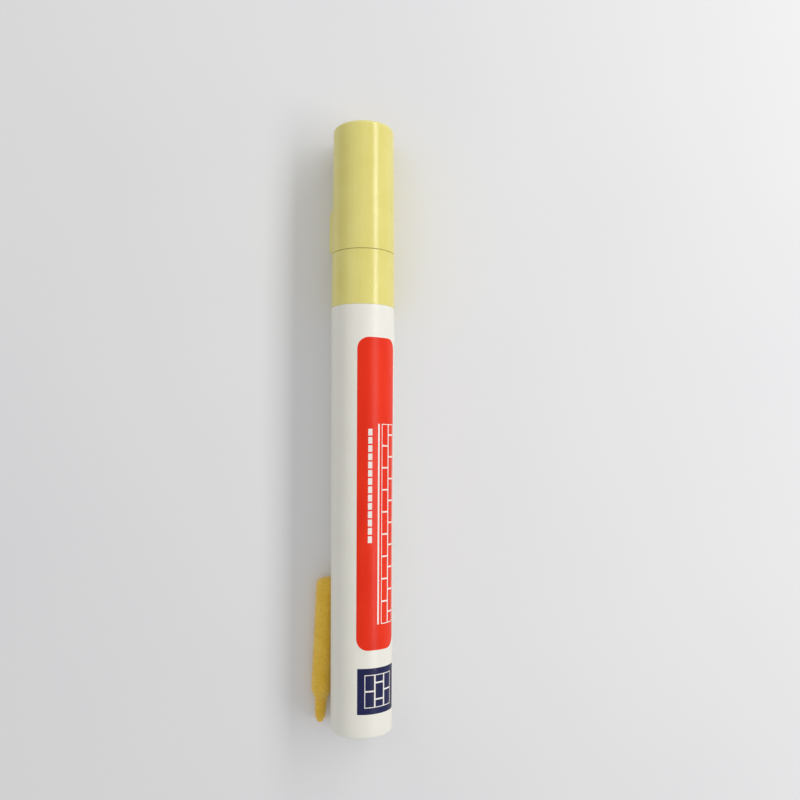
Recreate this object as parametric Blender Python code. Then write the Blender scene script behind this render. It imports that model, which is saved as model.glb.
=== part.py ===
"""Grout marker with a push-on cap, a sprung valve behind a felt nib, and a spare nib.

All sizes are in metres.  The marker lies along +Y with its cap in front and its clip low
on one side.  The origin is the centre of the barrel's flat base.
"""
import math

import bmesh
import bpy
from mathutils import Matrix, Vector

MM = 0.001

# Barrel
BODY_DIAMETER = 14.9 * MM
BARREL_LENGTH = 97.5 * MM
BARREL_DRAFT = 0.8 * MM
BARREL_WALL = 1.1 * MM
BARREL_BASE_THICKNESS = 1.6 * MM
BARREL_BASE_ROUND = 1.0 * MM

# Front section: plug, collar, neck, sealing land and nose in one moulding
COLLAR_LENGTH = 12.7 * MM
COLLAR_EDGE_ROUND = 0.3 * MM
NECK_LENGTH = 7.0 * MM
NECK_BEAD_SETBACK = 3.5 * MM
NECK_BEAD_WIDTH = 1.0 * MM
NECK_BEAD_HEIGHT = 0.15 * MM
LAND_LENGTH = 2.5 * MM
NOSE_LENGTH = 7.0 * MM
NOSE_ROUND = 3.0 * MM
NOSE_LIP_WALL = 0.9 * MM
NOSE_LIP_ROUND = 0.35 * MM
PLUG_WALL = 1.3 * MM
PLUG_LEAD_IN = 0.5 * MM
PLUG_BEAD_SETBACK = 2.0 * MM
PLUG_BEAD_WIDTH = 1.2 * MM
PLUG_BEAD_HEIGHT = 0.2 * MM
FLOW_CHANNEL_COUNT = 6
FLOW_CHANNEL_DIAMETER = 1.6 * MM

# Nib and its spare
NIB_DIAMETER = 4.8 * MM
NIB_LENGTH = 34.1 * MM
NIB_END_ROUND = 1.8 * MM
NIB_END_SLANT = math.radians(5.0)
NIB_SHOULDER_LENGTH = 2.2 * MM
NIB_SHOULDER_ROUND = 1.2 * MM
NIB_TIP_BASE_DIAMETER = 3.2 * MM
NIB_TIP_END_DIAMETER = 2.5 * MM
NIB_TIP_LENGTH = 5.3 * MM
NIB_TIP_ROUND = 1.1 * MM
NIB_EXPOSED_LENGTH = 8.0 * MM
NIB_TRAVEL = 2.0 * MM
SPARE_NIB_SETBACK = 1.35 * MM
SPARE_NIB_GAP = 0.55 * MM
SPARE_NIB_YAW = math.radians(2.3)

# Valve
SEAT_THICKNESS = 1.8 * MM
SEAT_LIP_HEIGHT = 0.4 * MM
SEAT_LIP_WIDTH = 0.5 * MM
PUSHER_DIAMETER = 2.4 * MM
PUSHER_FLOW_GAP = 0.5 * MM
GASKET_DIAMETER = 5.0 * MM
GASKET_THICKNESS = 0.8 * MM
GASKET_ROUND = 0.25 * MM
STEM_HEAD_DIAMETER = 5.2 * MM
STEM_HEAD_LENGTH = 1.4 * MM
STEM_TAIL_DIAMETER = 1.9 * MM
STEM_TAIL_OVERHANG = 0.6 * MM
SPRING_LENGTH = 8.0 * MM
SPRING_DIAMETER = 3.5 * MM
SPRING_WIRE = 0.45 * MM
SPRING_TURNS = 6
CAGE_WALL = 0.6 * MM
CAGE_FLOOR_THICKNESS = 1.2 * MM
CAGE_WINDOW_COUNT = 4
CAGE_WINDOW_MARGIN = 0.15 * MM

# Cap
CAP_DRAFT = 0.4 * MM
CAP_WALL = 1.15 * MM
CAP_TOP_THICKNESS = 1.0 * MM
CAP_TOP_ROUND = 0.9 * MM
CAP_MOUTH_ROUND = 0.25 * MM
CAP_INNER_ROUND = 0.4 * MM
NIB_HEADROOM = 4.3 * MM
LINER_WALL = 0.6 * MM
LINER_TOP_THICKNESS = 0.8 * MM
LINER_LIP_LENGTH = 2.0 * MM
LINER_LIP_HEIGHT = 0.25 * MM

# Clip, moulded with the cap
CLIP_ANGLE = math.radians(51.5)
CLIP_WIDTH = 4.0 * MM
CLIP_SETBACK = 3.2 * MM
CLIP_RAMP_LENGTH = 1.2 * MM
CLIP_RIB_LENGTH = 14.1 * MM
CLIP_RIB_REACH = 0.75 * MM
CLIP_STEP_LENGTH = 2.4 * MM
CLIP_STEP_ROUND = 2.0 * MM
CLIP_SLOT_LENGTH = 10.2 * MM
CLIP_SLOT_GAP = 0.4 * MM
CLIP_END_GAP = 0.8 * MM
CLIP_END_THICKNESS = 1.1 * MM
CLIP_END_SETBACK = 1.6 * MM
CLIP_END_ROUND = 0.4 * MM
CLIP_NUB_LENGTH = 2.4 * MM
CLIP_NUB_HEIGHT = 0.3 * MM
CLIP_EMBED = 0.6 * MM
CLIP_EDGE_BEVEL = 0.2 * MM

# Mixing ball
BALL_DIAMETER = 7.0 * MM

# Clearances
PRESS_GAP = 0.1 * MM
SEAL_GAP = 0.15 * MM
NIB_GAP = 0.2 * MM
RUN_GAP = 0.3 * MM

# Facets
BODY_FACETS = 48
INNER_FACETS = 32
VALVE_FACETS = 24
HOLE_FACETS = 12
BALL_RINGS = 12
ROUND_STEPS = 3
SPRING_POINTS_PER_TURN = 10
SHARP_ANGLE = math.radians(35.0)
MERGE_DISTANCE = 0.001 * MM

# Colours as 8-bit sRGB values
PALE_YELLOW = (226, 217, 130)
WARM_WHITE = (232, 231, 222)
LINER_WHITE = (236, 236, 230)
FELT_OCHRE = (205, 165, 66)
NATURAL_PLASTIC = (222, 220, 208)
BLACK_RUBBER = (32, 32, 34)
BRIGHT_STEEL = (196, 198, 200)

# Radii that follow from the sizes above
BODY_RADIUS = BODY_DIAMETER / 2
BARREL_BASE_RADIUS = BODY_RADIUS - BARREL_DRAFT / 2
CAP_TOP_RADIUS = BODY_RADIUS - CAP_DRAFT / 2
CAP_INNER_MOUTH_RADIUS = BODY_RADIUS - CAP_WALL
CAP_INNER_TOP_RADIUS = CAP_TOP_RADIUS - CAP_WALL
NECK_RADIUS = CAP_INNER_MOUTH_RADIUS - RUN_GAP
LINER_RADIUS = CAP_INNER_TOP_RADIUS - PRESS_GAP
LINER_BORE_RADIUS = LINER_RADIUS - LINER_WALL
LINER_LIP_RADIUS = LINER_BORE_RADIUS - LINER_LIP_HEIGHT
LAND_RADIUS = LINER_LIP_RADIUS - SEAL_GAP
NIB_RADIUS = NIB_DIAMETER / 2
NIB_BORE_RADIUS = NIB_RADIUS + NIB_GAP
NOSE_LIP_RADIUS = NIB_BORE_RADIUS + NOSE_LIP_WALL
FLOW_CHANNEL_PITCH_RADIUS = NIB_BORE_RADIUS + FLOW_CHANNEL_DIAMETER / 4
PUSHER_RADIUS = PUSHER_DIAMETER / 2
SEAT_HOLE_RADIUS = PUSHER_RADIUS + PUSHER_FLOW_GAP
TAIL_RADIUS = STEM_TAIL_DIAMETER / 2
BALL_RADIUS = BALL_DIAMETER / 2

# Stations along the marker, measured from the barrel's base
SHOULDER_STATION = BARREL_LENGTH + PRESS_GAP
COLLAR_FRONT_STATION = SHOULDER_STATION + COLLAR_LENGTH
NECK_FRONT_STATION = COLLAR_FRONT_STATION + NECK_LENGTH
LAND_FRONT_STATION = NECK_FRONT_STATION + LAND_LENGTH
NOSE_STATION = LAND_FRONT_STATION + NOSE_LENGTH
NIB_TIP_STATION = NOSE_STATION + NIB_EXPOSED_LENGTH
NIB_REAR_STATION = NIB_TIP_STATION - NIB_LENGTH
LEDGE_STATION = NIB_REAR_STATION - NIB_TRAVEL - RUN_GAP
SEAT_FRONT_STATION = LEDGE_STATION - PRESS_GAP
SEAT_REAR_STATION = SEAT_FRONT_STATION - SEAT_THICKNESS
SEAT_LIP_STATION = SEAT_REAR_STATION - SEAT_LIP_HEIGHT
GASKET_FRONT_STATION = SEAT_LIP_STATION - PRESS_GAP
GASKET_REAR_STATION = GASKET_FRONT_STATION - GASKET_THICKNESS
HEAD_FRONT_STATION = GASKET_REAR_STATION - PRESS_GAP
HEAD_REAR_STATION = HEAD_FRONT_STATION - STEM_HEAD_LENGTH
SPRING_FRONT_STATION = HEAD_REAR_STATION - PRESS_GAP
SPRING_REAR_STATION = SPRING_FRONT_STATION - SPRING_LENGTH
CAGE_FLOOR_STATION = SPRING_REAR_STATION - PRESS_GAP
CAGE_REAR_STATION = CAGE_FLOOR_STATION - CAGE_FLOOR_THICKNESS
CAGE_FRONT_STATION = SEAT_REAR_STATION - PRESS_GAP
TAIL_STATION = CAGE_REAR_STATION - STEM_TAIL_OVERHANG
CAP_MOUTH_STATION = COLLAR_FRONT_STATION + RUN_GAP
LINER_MOUTH_STATION = NECK_FRONT_STATION + RUN_GAP
LINER_BORE_END_STATION = NIB_TIP_STATION + NIB_HEADROOM
LINER_TOP_STATION = LINER_BORE_END_STATION + LINER_TOP_THICKNESS
CAP_INNER_TOP_STATION = LINER_TOP_STATION + PRESS_GAP
CAP_TOP_STATION = CAP_INNER_TOP_STATION + CAP_TOP_THICKNESS


def taper(start_radius, end_radius, start_station, end_station, station):
    """Return the radius at a station of a wall that tapers evenly between two stations."""
    share = (station - start_station) / (end_station - start_station)
    return start_radius + (end_radius - start_radius) * share


def barrel_radius(station):
    """Return the barrel's outer radius at a station."""
    return taper(BARREL_BASE_RADIUS, BODY_RADIUS, 0.0, BARREL_LENGTH, station)


def bore_radius(station):
    """Return the radius of the barrel's bore at a station."""
    return barrel_radius(station) - BARREL_WALL


def cap_radius(station):
    """Return the cap's outer radius at a station."""
    return taper(BODY_RADIUS, CAP_TOP_RADIUS, CAP_MOUTH_STATION, CAP_TOP_STATION, station)


# Radii of the plug and what it holds, which follow from the bore where the plug ends
PLUG_RADIUS = bore_radius(CAGE_REAR_STATION) - PRESS_GAP
CHAMBER_RADIUS = PLUG_RADIUS - PLUG_WALL
CAGE_RADIUS = CHAMBER_RADIUS - PRESS_GAP
CAGE_INNER_RADIUS = CAGE_RADIUS - CAGE_WALL
CAGE_GUIDE_RADIUS = TAIL_RADIUS + RUN_GAP
SPRING_OUTER_RADIUS = (SPRING_DIAMETER + SPRING_WIRE) / 2


def linear_colour(colour):
    """Return an RGBA colour in linear light from three 8-bit sRGB values."""
    shares = [value / 255 for value in colour]
    channels = [share / 12.92 if share <= 0.04045 else ((share + 0.055) / 1.055) ** 2.4 for share in shares]
    return (*channels, 1.0)


def make_material(name, colour, roughness, metallic=0.0):
    """Return a plain Principled material."""
    material = bpy.data.materials.new(name)
    material.use_nodes = True
    shader = material.node_tree.nodes["Principled BSDF"]
    shader.inputs["Base Color"].default_value = linear_colour(colour)
    shader.inputs["Roughness"].default_value = roughness
    shader.inputs["Metallic"].default_value = metallic
    material.diffuse_color = linear_colour(colour)
    return material


def clear_scene():
    """Remove every object from the scene."""
    for old in list(bpy.data.objects):
        bpy.data.objects.remove(old, do_unlink=True)


def add_empty(name, parent=None):
    """Add an empty that carries a group of pieces."""
    empty = bpy.data.objects.new(name, None)
    empty.empty_display_size = BODY_RADIUS
    empty.parent = parent
    bpy.context.scene.collection.objects.link(empty)
    return empty


def shade(mesh):
    """Shade a mesh smooth, with hard edges where its faces turn sharply."""
    for face in mesh.faces:
        face.smooth = True
    for edge in mesh.edges:
        edge.smooth = edge.calc_face_angle(0.0) < SHARP_ANGLE


def add_piece(name, mesh, material, parent=None):
    """Turn a bmesh into a named object with its material, and free the bmesh."""
    shade(mesh)
    data = bpy.data.meshes.new(name)
    mesh.to_mesh(data)
    mesh.free()
    data.materials.append(material)
    piece = bpy.data.objects.new(name, data)
    piece.parent = parent
    bpy.context.scene.collection.objects.link(piece)
    return piece


def rounded(corners):
    """Return outline points from (radius, station, rounding) corners, with arcs at rounded ones."""
    points = []
    for index, (radius, station, rounding) in enumerate(corners):
        corner = Vector((radius, station))
        if rounding == 0.0:
            points.append(corner)
            continue
        back = (Vector(corners[index - 1][:2]) - corner).normalized()
        ahead = (Vector(corners[(index + 1) % len(corners)][:2]) - corner).normalized()
        half_angle = back.angle(ahead) / 2
        centre = corner + (back + ahead).normalized() * rounding / math.sin(half_angle)
        setback = rounding / math.tan(half_angle)
        first = corner + back * setback - centre
        last = corner + ahead * setback - centre
        start = math.atan2(first.y, first.x)
        sweep = math.remainder(math.atan2(last.y, last.x) - start, math.tau)
        for step in range(ROUND_STEPS + 1):
            angle = start + sweep * step / ROUND_STEPS
            points.append(centre + rounding * Vector((math.cos(angle), math.sin(angle))))
    return points


def bead(radius, station, width, height):
    """Return the corners of a raised ring, or of a groove if the height is negative."""
    return [
        (radius, station - width / 2, 0.0),
        (radius + height, station - width / 4, 0.0),
        (radius + height, station + width / 4, 0.0),
        (radius, station + width / 2, 0.0),
    ]


def revolve(corners, facets):
    """Spin an outline about local Z into a closed body.

    An outline that starts on the axis also ends there; any other one is closed into a ring.
    """
    mesh = bmesh.new()
    half_facet = Matrix.Rotation(math.pi / facets, 3, "Z")
    chain = [mesh.verts.new(half_facet @ Vector((point.x, 0.0, point.y))) for point in rounded(corners)]
    edges = [mesh.edges.new(pair) for pair in zip(chain, chain[1:])]
    if corners[0][0] > 0.0:
        edges.append(mesh.edges.new((chain[-1], chain[0])))
    bmesh.ops.spin(mesh, geom=chain + edges, axis=(0.0, 0.0, 1.0), angle=math.tau, steps=facets, use_merge=True)
    bmesh.ops.remove_doubles(mesh, verts=mesh.verts, dist=MERGE_DISTANCE)
    bmesh.ops.recalc_face_normals(mesh, faces=mesh.faces)
    return mesh


def rod_circle(count, pitch_radius, rod_radius, start_station, end_station):
    """Return a bmesh of parallel rods, evenly spaced on a circle about local Z."""
    mesh = bmesh.new()
    length = end_station - start_station
    for index in range(count):
        spin = Matrix.Rotation(math.tau * index / count, 4, "Z")
        place = Matrix.Translation((pitch_radius, 0.0, start_station + length / 2))
        bmesh.ops.create_cone(
            mesh, cap_ends=True, segments=HOLE_FACETS, radius1=rod_radius, radius2=rod_radius,
            depth=length, matrix=spin @ place)
    return mesh


def combine(piece, tool_mesh, operation):
    """Cut a tool out of a piece, or join it on, and leave the result as the piece's own mesh."""
    tool = add_piece("tool", tool_mesh, piece.data.materials[0], piece.parent)
    modifier = piece.modifiers.new("combine", "BOOLEAN")
    modifier.operation = operation
    modifier.solver = "EXACT"
    modifier.object = tool
    depsgraph = bpy.context.evaluated_depsgraph_get()
    result = bmesh.new()
    result.from_object(piece, depsgraph)
    piece.modifiers.remove(modifier)
    bpy.data.objects.remove(tool, do_unlink=True)
    shade(result)
    result.to_mesh(piece.data)
    result.free()


def build_barrel(material, parent):
    """Build the barrel: a drafted tube with a closed flat base and a snap groove at its mouth."""
    groove_station = BARREL_LENGTH - PLUG_BEAD_SETBACK
    groove = bead(bore_radius(groove_station), groove_station, PLUG_BEAD_WIDTH + RUN_GAP, PLUG_BEAD_HEIGHT)
    corners = [
        (0.0, 0.0, 0.0),
        (BARREL_BASE_RADIUS, 0.0, BARREL_BASE_ROUND),
        (BODY_RADIUS, BARREL_LENGTH, 0.0),
        (bore_radius(BARREL_LENGTH), BARREL_LENGTH, 0.0),
        *reversed(groove),
        (bore_radius(BARREL_BASE_THICKNESS), BARREL_BASE_THICKNESS, BARREL_BASE_ROUND / 2),
        (0.0, BARREL_BASE_THICKNESS, 0.0),
    ]
    return add_piece("barrel", revolve(corners, BODY_FACETS), material, parent)


def build_front_section(material, parent):
    """Build the collar with its plug, neck and nose, bored for the nib and the valve."""
    plug_bead_station = SHOULDER_STATION - PRESS_GAP - PLUG_BEAD_SETBACK
    corners = [
        (PLUG_RADIUS - PLUG_LEAD_IN, CAGE_REAR_STATION, 0.0),
        (PLUG_RADIUS, CAGE_REAR_STATION + PLUG_LEAD_IN, 0.0),
        *bead(PLUG_RADIUS, plug_bead_station, PLUG_BEAD_WIDTH, PLUG_BEAD_HEIGHT),
        (PLUG_RADIUS, SHOULDER_STATION, 0.0),
        (BODY_RADIUS, SHOULDER_STATION, 0.0),
        (BODY_RADIUS, COLLAR_FRONT_STATION, COLLAR_EDGE_ROUND),
        (NECK_RADIUS, COLLAR_FRONT_STATION, 0.0),
        *bead(NECK_RADIUS, COLLAR_FRONT_STATION + NECK_BEAD_SETBACK, NECK_BEAD_WIDTH, NECK_BEAD_HEIGHT),
        (NECK_RADIUS, NECK_FRONT_STATION, COLLAR_EDGE_ROUND),
        (LAND_RADIUS, NECK_FRONT_STATION, 0.0),
        (LAND_RADIUS, LAND_FRONT_STATION, NOSE_ROUND),
        (NOSE_LIP_RADIUS, NOSE_STATION, NOSE_LIP_ROUND),
        (NIB_BORE_RADIUS, NOSE_STATION, 0.0),
        (NIB_BORE_RADIUS, LEDGE_STATION, 0.0),
        (CHAMBER_RADIUS, LEDGE_STATION, 0.0),
        (CHAMBER_RADIUS, CAGE_REAR_STATION, 0.0),
    ]
    section = add_piece("front_section", revolve(corners, BODY_FACETS), material, parent)
    channels = rod_circle(
        FLOW_CHANNEL_COUNT, FLOW_CHANNEL_PITCH_RADIUS, FLOW_CHANNEL_DIAMETER / 2,
        LEDGE_STATION - RUN_GAP, LAND_FRONT_STATION)
    combine(section, channels, "DIFFERENCE")
    return section


def build_nib(name, material, parent):
    """Build a felt nib along local Z, from its slanted, rounded end at zero to its bullet tip."""
    tip_start = NIB_LENGTH - NIB_TIP_LENGTH
    corners = [
        (0.0, 0.0, 0.0),
        (NIB_RADIUS, 0.0, NIB_END_ROUND),
        (NIB_RADIUS, tip_start - NIB_SHOULDER_LENGTH, NIB_SHOULDER_ROUND),
        (NIB_TIP_BASE_DIAMETER / 2, tip_start, NIB_SHOULDER_ROUND),
        (NIB_TIP_END_DIAMETER / 2, NIB_LENGTH, NIB_TIP_ROUND),
        (0.0, NIB_LENGTH, 0.0),
    ]
    mesh = revolve(corners, INNER_FACETS)
    for vert in mesh.verts:
        if vert.co.z < NIB_END_ROUND + MERGE_DISTANCE:
            vert.co.z += (NIB_RADIUS - vert.co.x) * math.tan(NIB_END_SLANT)
    return add_piece(name, mesh, material, parent)


def build_valve_seat(material, parent):
    """Build the pressed-in ring whose rear lip the gasket closes against."""
    corners = [
        (SEAT_HOLE_RADIUS, SEAT_FRONT_STATION, 0.0),
        (SEAT_HOLE_RADIUS, SEAT_LIP_STATION, 0.0),
        (SEAT_HOLE_RADIUS + SEAT_LIP_WIDTH / 2, SEAT_LIP_STATION, 0.0),
        (SEAT_HOLE_RADIUS + SEAT_LIP_WIDTH, SEAT_REAR_STATION, 0.0),
        (CAGE_RADIUS, SEAT_REAR_STATION, 0.0),
        (CAGE_RADIUS, SEAT_FRONT_STATION, 0.0),
    ]
    return add_piece("valve_seat", revolve(corners, VALVE_FACETS), material, parent)


def build_valve_gasket(material, parent):
    """Build the rubber washer that sits on the stem in front of its head."""
    inner_radius = PUSHER_RADIUS + PRESS_GAP
    outer_radius = GASKET_DIAMETER / 2
    corners = [
        (inner_radius, GASKET_REAR_STATION, 0.0),
        (outer_radius, GASKET_REAR_STATION, GASKET_ROUND),
        (outer_radius, GASKET_FRONT_STATION, GASKET_ROUND),
        (inner_radius, GASKET_FRONT_STATION, 0.0),
    ]
    return add_piece("valve_gasket", revolve(corners, VALVE_FACETS), material, parent)


def build_valve_stem(material, parent):
    """Build the plunger: a pusher behind the nib, a head and a tail that guides the spring."""
    head_radius = STEM_HEAD_DIAMETER / 2
    corners = [
        (0.0, TAIL_STATION, 0.0),
        (TAIL_RADIUS, TAIL_STATION, TAIL_RADIUS / 2),
        (TAIL_RADIUS, HEAD_REAR_STATION, 0.0),
        (head_radius, HEAD_REAR_STATION, 0.0),
        (head_radius, HEAD_FRONT_STATION, GASKET_ROUND),
        (PUSHER_RADIUS, HEAD_FRONT_STATION, 0.0),
        (PUSHER_RADIUS, NIB_REAR_STATION - PRESS_GAP, GASKET_ROUND),
        (0.0, NIB_REAR_STATION - PRESS_GAP, 0.0),
    ]
    return add_piece("valve_stem", revolve(corners, VALVE_FACETS), material, parent)


def build_valve_cage(material, parent):
    """Build the cup that carries the spring, with paint windows round its guide hole."""
    corners = [
        (CAGE_RADIUS, CAGE_FRONT_STATION, 0.0),
        (CAGE_INNER_RADIUS, CAGE_FRONT_STATION, 0.0),
        (CAGE_INNER_RADIUS, CAGE_FLOOR_STATION, 0.0),
        (CAGE_GUIDE_RADIUS, CAGE_FLOOR_STATION, 0.0),
        (CAGE_GUIDE_RADIUS, CAGE_REAR_STATION, 0.0),
        (CAGE_RADIUS, CAGE_REAR_STATION, 0.0),
    ]
    cage = add_piece("valve_cage", revolve(corners, VALVE_FACETS), material, parent)
    window_radius = (CAGE_INNER_RADIUS - SPRING_OUTER_RADIUS) / 2 - CAGE_WINDOW_MARGIN
    pitch_radius = (CAGE_INNER_RADIUS + SPRING_OUTER_RADIUS) / 2
    windows = rod_circle(
        CAGE_WINDOW_COUNT, pitch_radius, window_radius,
        CAGE_REAR_STATION - RUN_GAP, CAGE_FLOOR_STATION + RUN_GAP)
    combine(cage, windows, "DIFFERENCE")
    return cage


def build_valve_spring(material, parent):
    """Build the coil spring as one unbroken tube, and print its least gap to itself."""
    count = SPRING_TURNS * SPRING_POINTS_PER_TURN + 1
    rise = SPRING_LENGTH - SPRING_WIRE
    coil_radius = SPRING_DIAMETER / 2
    points = []
    for index in range(count):
        angle = math.tau * index / SPRING_POINTS_PER_TURN
        station = SPRING_REAR_STATION + SPRING_WIRE / 2 + rise * index / (count - 1)
        points.append(Vector((coil_radius * math.cos(angle), coil_radius * math.sin(angle), station)))
    apart = SPRING_POINTS_PER_TURN // 2
    gaps = [
        (points[late] - points[early]).length - SPRING_WIRE
        for early in range(count) for late in range(early + apart, count)]
    print(f"valve_spring least gap to itself: {min(gaps) / MM:.2f} mm")

    curve = bpy.data.curves.new("valve_spring_path", "CURVE")
    curve.dimensions = "3D"
    curve.bevel_depth = SPRING_WIRE / 2
    curve.bevel_resolution = 1
    curve.use_fill_caps = True
    spline = curve.splines.new("POLY")
    spline.points.add(count - 1)
    for spline_point, point in zip(spline.points, points):
        spline_point.co = (*point, 1.0)
    path = bpy.data.objects.new("valve_spring_path", curve)
    bpy.context.scene.collection.objects.link(path)
    tube = path.to_mesh()
    mesh = bmesh.new()
    mesh.from_mesh(tube)
    path.to_mesh_clear()
    bpy.data.objects.remove(path, do_unlink=True)
    bmesh.ops.remove_doubles(mesh, verts=mesh.verts, dist=MERGE_DISTANCE)
    bmesh.ops.recalc_face_normals(mesh, faces=mesh.faces)
    return add_piece("valve_spring", mesh, material, parent)


def clip_mesh():
    """Return the clip: a low rib that steps out into a free tongue, bevelled along its edges."""
    root_station = CAP_TOP_STATION - CLIP_SETBACK
    rib_end_station = root_station - CLIP_RIB_LENGTH
    tongue_station = rib_end_station - CLIP_STEP_LENGTH
    end_station = CAP_MOUTH_STATION + CLIP_END_SETBACK
    slot_station = end_station + CLIP_SLOT_LENGTH
    nub_station = end_station + CLIP_NUB_LENGTH / 2
    tongue_reach = CLIP_END_GAP + CLIP_END_THICKNESS
    corners = [
        (cap_radius(root_station) - CLIP_EMBED, root_station, 0.0),
        (cap_radius(root_station), root_station, 0.0),
        (cap_radius(root_station) + CLIP_RIB_REACH, root_station - CLIP_RAMP_LENGTH, CLIP_RAMP_LENGTH),
        (cap_radius(rib_end_station) + CLIP_RIB_REACH, rib_end_station, CLIP_STEP_ROUND),
        (cap_radius(tongue_station) + tongue_reach, tongue_station, CLIP_STEP_ROUND),
        (cap_radius(end_station) + tongue_reach, end_station, CLIP_END_ROUND),
        (cap_radius(end_station) + CLIP_END_GAP, end_station, 0.0),
        (cap_radius(nub_station) + CLIP_END_GAP - CLIP_NUB_HEIGHT, nub_station, CLIP_NUB_LENGTH),
        (cap_radius(end_station) + CLIP_END_GAP, end_station + CLIP_NUB_LENGTH, 0.0),
        (cap_radius(slot_station) + CLIP_SLOT_GAP, slot_station, 0.0),
        (cap_radius(slot_station) - CLIP_EMBED, slot_station, 0.0),
    ]
    mesh = bmesh.new()
    side = [mesh.verts.new((point.x, -CLIP_WIDTH / 2, point.y)) for point in rounded(corners)]
    face = mesh.faces.new(side)
    drawn = bmesh.ops.extrude_face_region(mesh, geom=[face])
    far_side = [item for item in drawn["geom"] if isinstance(item, bmesh.types.BMVert)]
    bmesh.ops.translate(mesh, verts=far_side, vec=(0.0, CLIP_WIDTH, 0.0))
    bmesh.ops.recalc_face_normals(mesh, faces=mesh.faces)
    mesh.normal_update()
    outer_edges = [
        edge for edge in mesh.edges
        if abs(edge.verts[0].co.y - edge.verts[1].co.y) < MERGE_DISTANCE
        and min(vert.co.x - cap_radius(vert.co.z) for vert in edge.verts) > CLIP_SLOT_GAP
        and any(face.normal.x > 0.5 or face.normal.z < -0.5 for face in edge.link_faces)]
    bmesh.ops.bevel(
        mesh, geom=outer_edges, offset=CLIP_EDGE_BEVEL, offset_type="OFFSET", segments=2, profile=0.5,
        affect="EDGES")
    bmesh.ops.rotate(mesh, verts=mesh.verts, matrix=Matrix.Rotation(math.pi / 2 + CLIP_ANGLE, 3, "Z"))
    return mesh


def build_cap_shell(material, parent):
    """Build the cap: a drafted thimble with a flat top and its clip."""
    corners = [
        (0.0, CAP_TOP_STATION, 0.0),
        (CAP_TOP_RADIUS, CAP_TOP_STATION, CAP_TOP_ROUND),
        (BODY_RADIUS, CAP_MOUTH_STATION, CAP_MOUTH_ROUND),
        (CAP_INNER_MOUTH_RADIUS, CAP_MOUTH_STATION, CAP_MOUTH_ROUND),
        (CAP_INNER_TOP_RADIUS, CAP_INNER_TOP_STATION, CAP_INNER_ROUND),
        (0.0, CAP_INNER_TOP_STATION, 0.0),
    ]
    shell = add_piece("cap_shell", revolve(corners, BODY_FACETS), material, parent)
    combine(shell, clip_mesh(), "UNION")
    return shell


def build_cap_liner(material, parent):
    """Build the inner cap, whose thicker lip closes on the land behind the nose."""
    corners = [
        (0.0, LINER_TOP_STATION, 0.0),
        (LINER_RADIUS, LINER_TOP_STATION, 2 * CAP_INNER_ROUND),
        (LINER_RADIUS, LINER_MOUTH_STATION, 0.0),
        (LINER_LIP_RADIUS, LINER_MOUTH_STATION, 0.0),
        (LINER_LIP_RADIUS, LINER_MOUTH_STATION + LINER_LIP_LENGTH, 0.0),
        (LINER_BORE_RADIUS, LINER_MOUTH_STATION + LINER_LIP_LENGTH + LINER_LIP_HEIGHT, 0.0),
        (LINER_BORE_RADIUS, LINER_BORE_END_STATION, CAP_INNER_ROUND),
        (0.0, LINER_BORE_END_STATION, 0.0),
    ]
    return add_piece("cap_liner", revolve(corners, INNER_FACETS), material, parent)


def build_mixing_ball(material, parent):
    """Build the steel ball, at rest on the bore's lower side near the barrel's base."""
    mesh = bmesh.new()
    bmesh.ops.create_uvsphere(mesh, u_segments=VALVE_FACETS, v_segments=BALL_RINGS, radius=BALL_RADIUS)
    ball = add_piece("mixing_ball", mesh, material, parent)
    station = BARREL_BASE_THICKNESS + BALL_RADIUS + RUN_GAP
    drop = bore_radius(BARREL_BASE_THICKNESS) - BALL_RADIUS - RUN_GAP
    ball.location = (0.0, drop, station)
    return ball


def place_spare_nib(spare_nib):
    """Lay the spare nib on the ground beside the barrel, with its tip towards the base."""
    inner_end = SPARE_NIB_SETBACK + NIB_LENGTH * math.cos(SPARE_NIB_YAW)
    height = NIB_RADIUS - BODY_RADIUS
    apart = barrel_radius(inner_end) + NIB_RADIUS + SPARE_NIB_GAP
    spare_nib.location = (-math.sqrt(apart ** 2 - height ** 2), inner_end, height)
    spare_nib.rotation_euler = (math.pi / 2, 0.0, -SPARE_NIB_YAW)


def main():
    """Build the marker and its spare nib."""
    clear_scene()
    yellow = make_material("yellow_plastic", PALE_YELLOW, 0.28)
    white = make_material("white_plastic", WARM_WHITE, 0.38)
    liner = make_material("liner_plastic", LINER_WHITE, 0.5)
    felt = make_material("nib_felt", FELT_OCHRE, 0.9)
    natural = make_material("valve_plastic", NATURAL_PLASTIC, 0.45)
    rubber = make_material("black_rubber", BLACK_RUBBER, 0.75)
    steel = make_material("bright_steel", BRIGHT_STEEL, 0.22, 1.0)

    # Local Z of these empties runs along the marker to +Y, and their local Y points down.
    body_axis = add_empty("body_axis")
    body_axis.rotation_euler = (-math.pi / 2, 0.0, 0.0)
    cap_axis = add_empty("cap_axis", body_axis)
    nib_axis = add_empty("nib_axis", body_axis)

    build_barrel(white, body_axis)
    build_front_section(yellow, body_axis)
    build_valve_seat(natural, body_axis)
    build_valve_cage(natural, body_axis)
    build_valve_spring(steel, body_axis)
    build_mixing_ball(steel, body_axis)

    build_cap_shell(yellow, cap_axis)
    build_cap_liner(liner, cap_axis)

    nib = build_nib("nib", felt, nib_axis)
    nib.location = (0.0, 0.0, NIB_REAR_STATION)
    build_valve_stem(natural, nib_axis)
    build_valve_gasket(rubber, nib_axis)

    place_spare_nib(build_nib("spare_nib", felt, None))


main()
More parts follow.
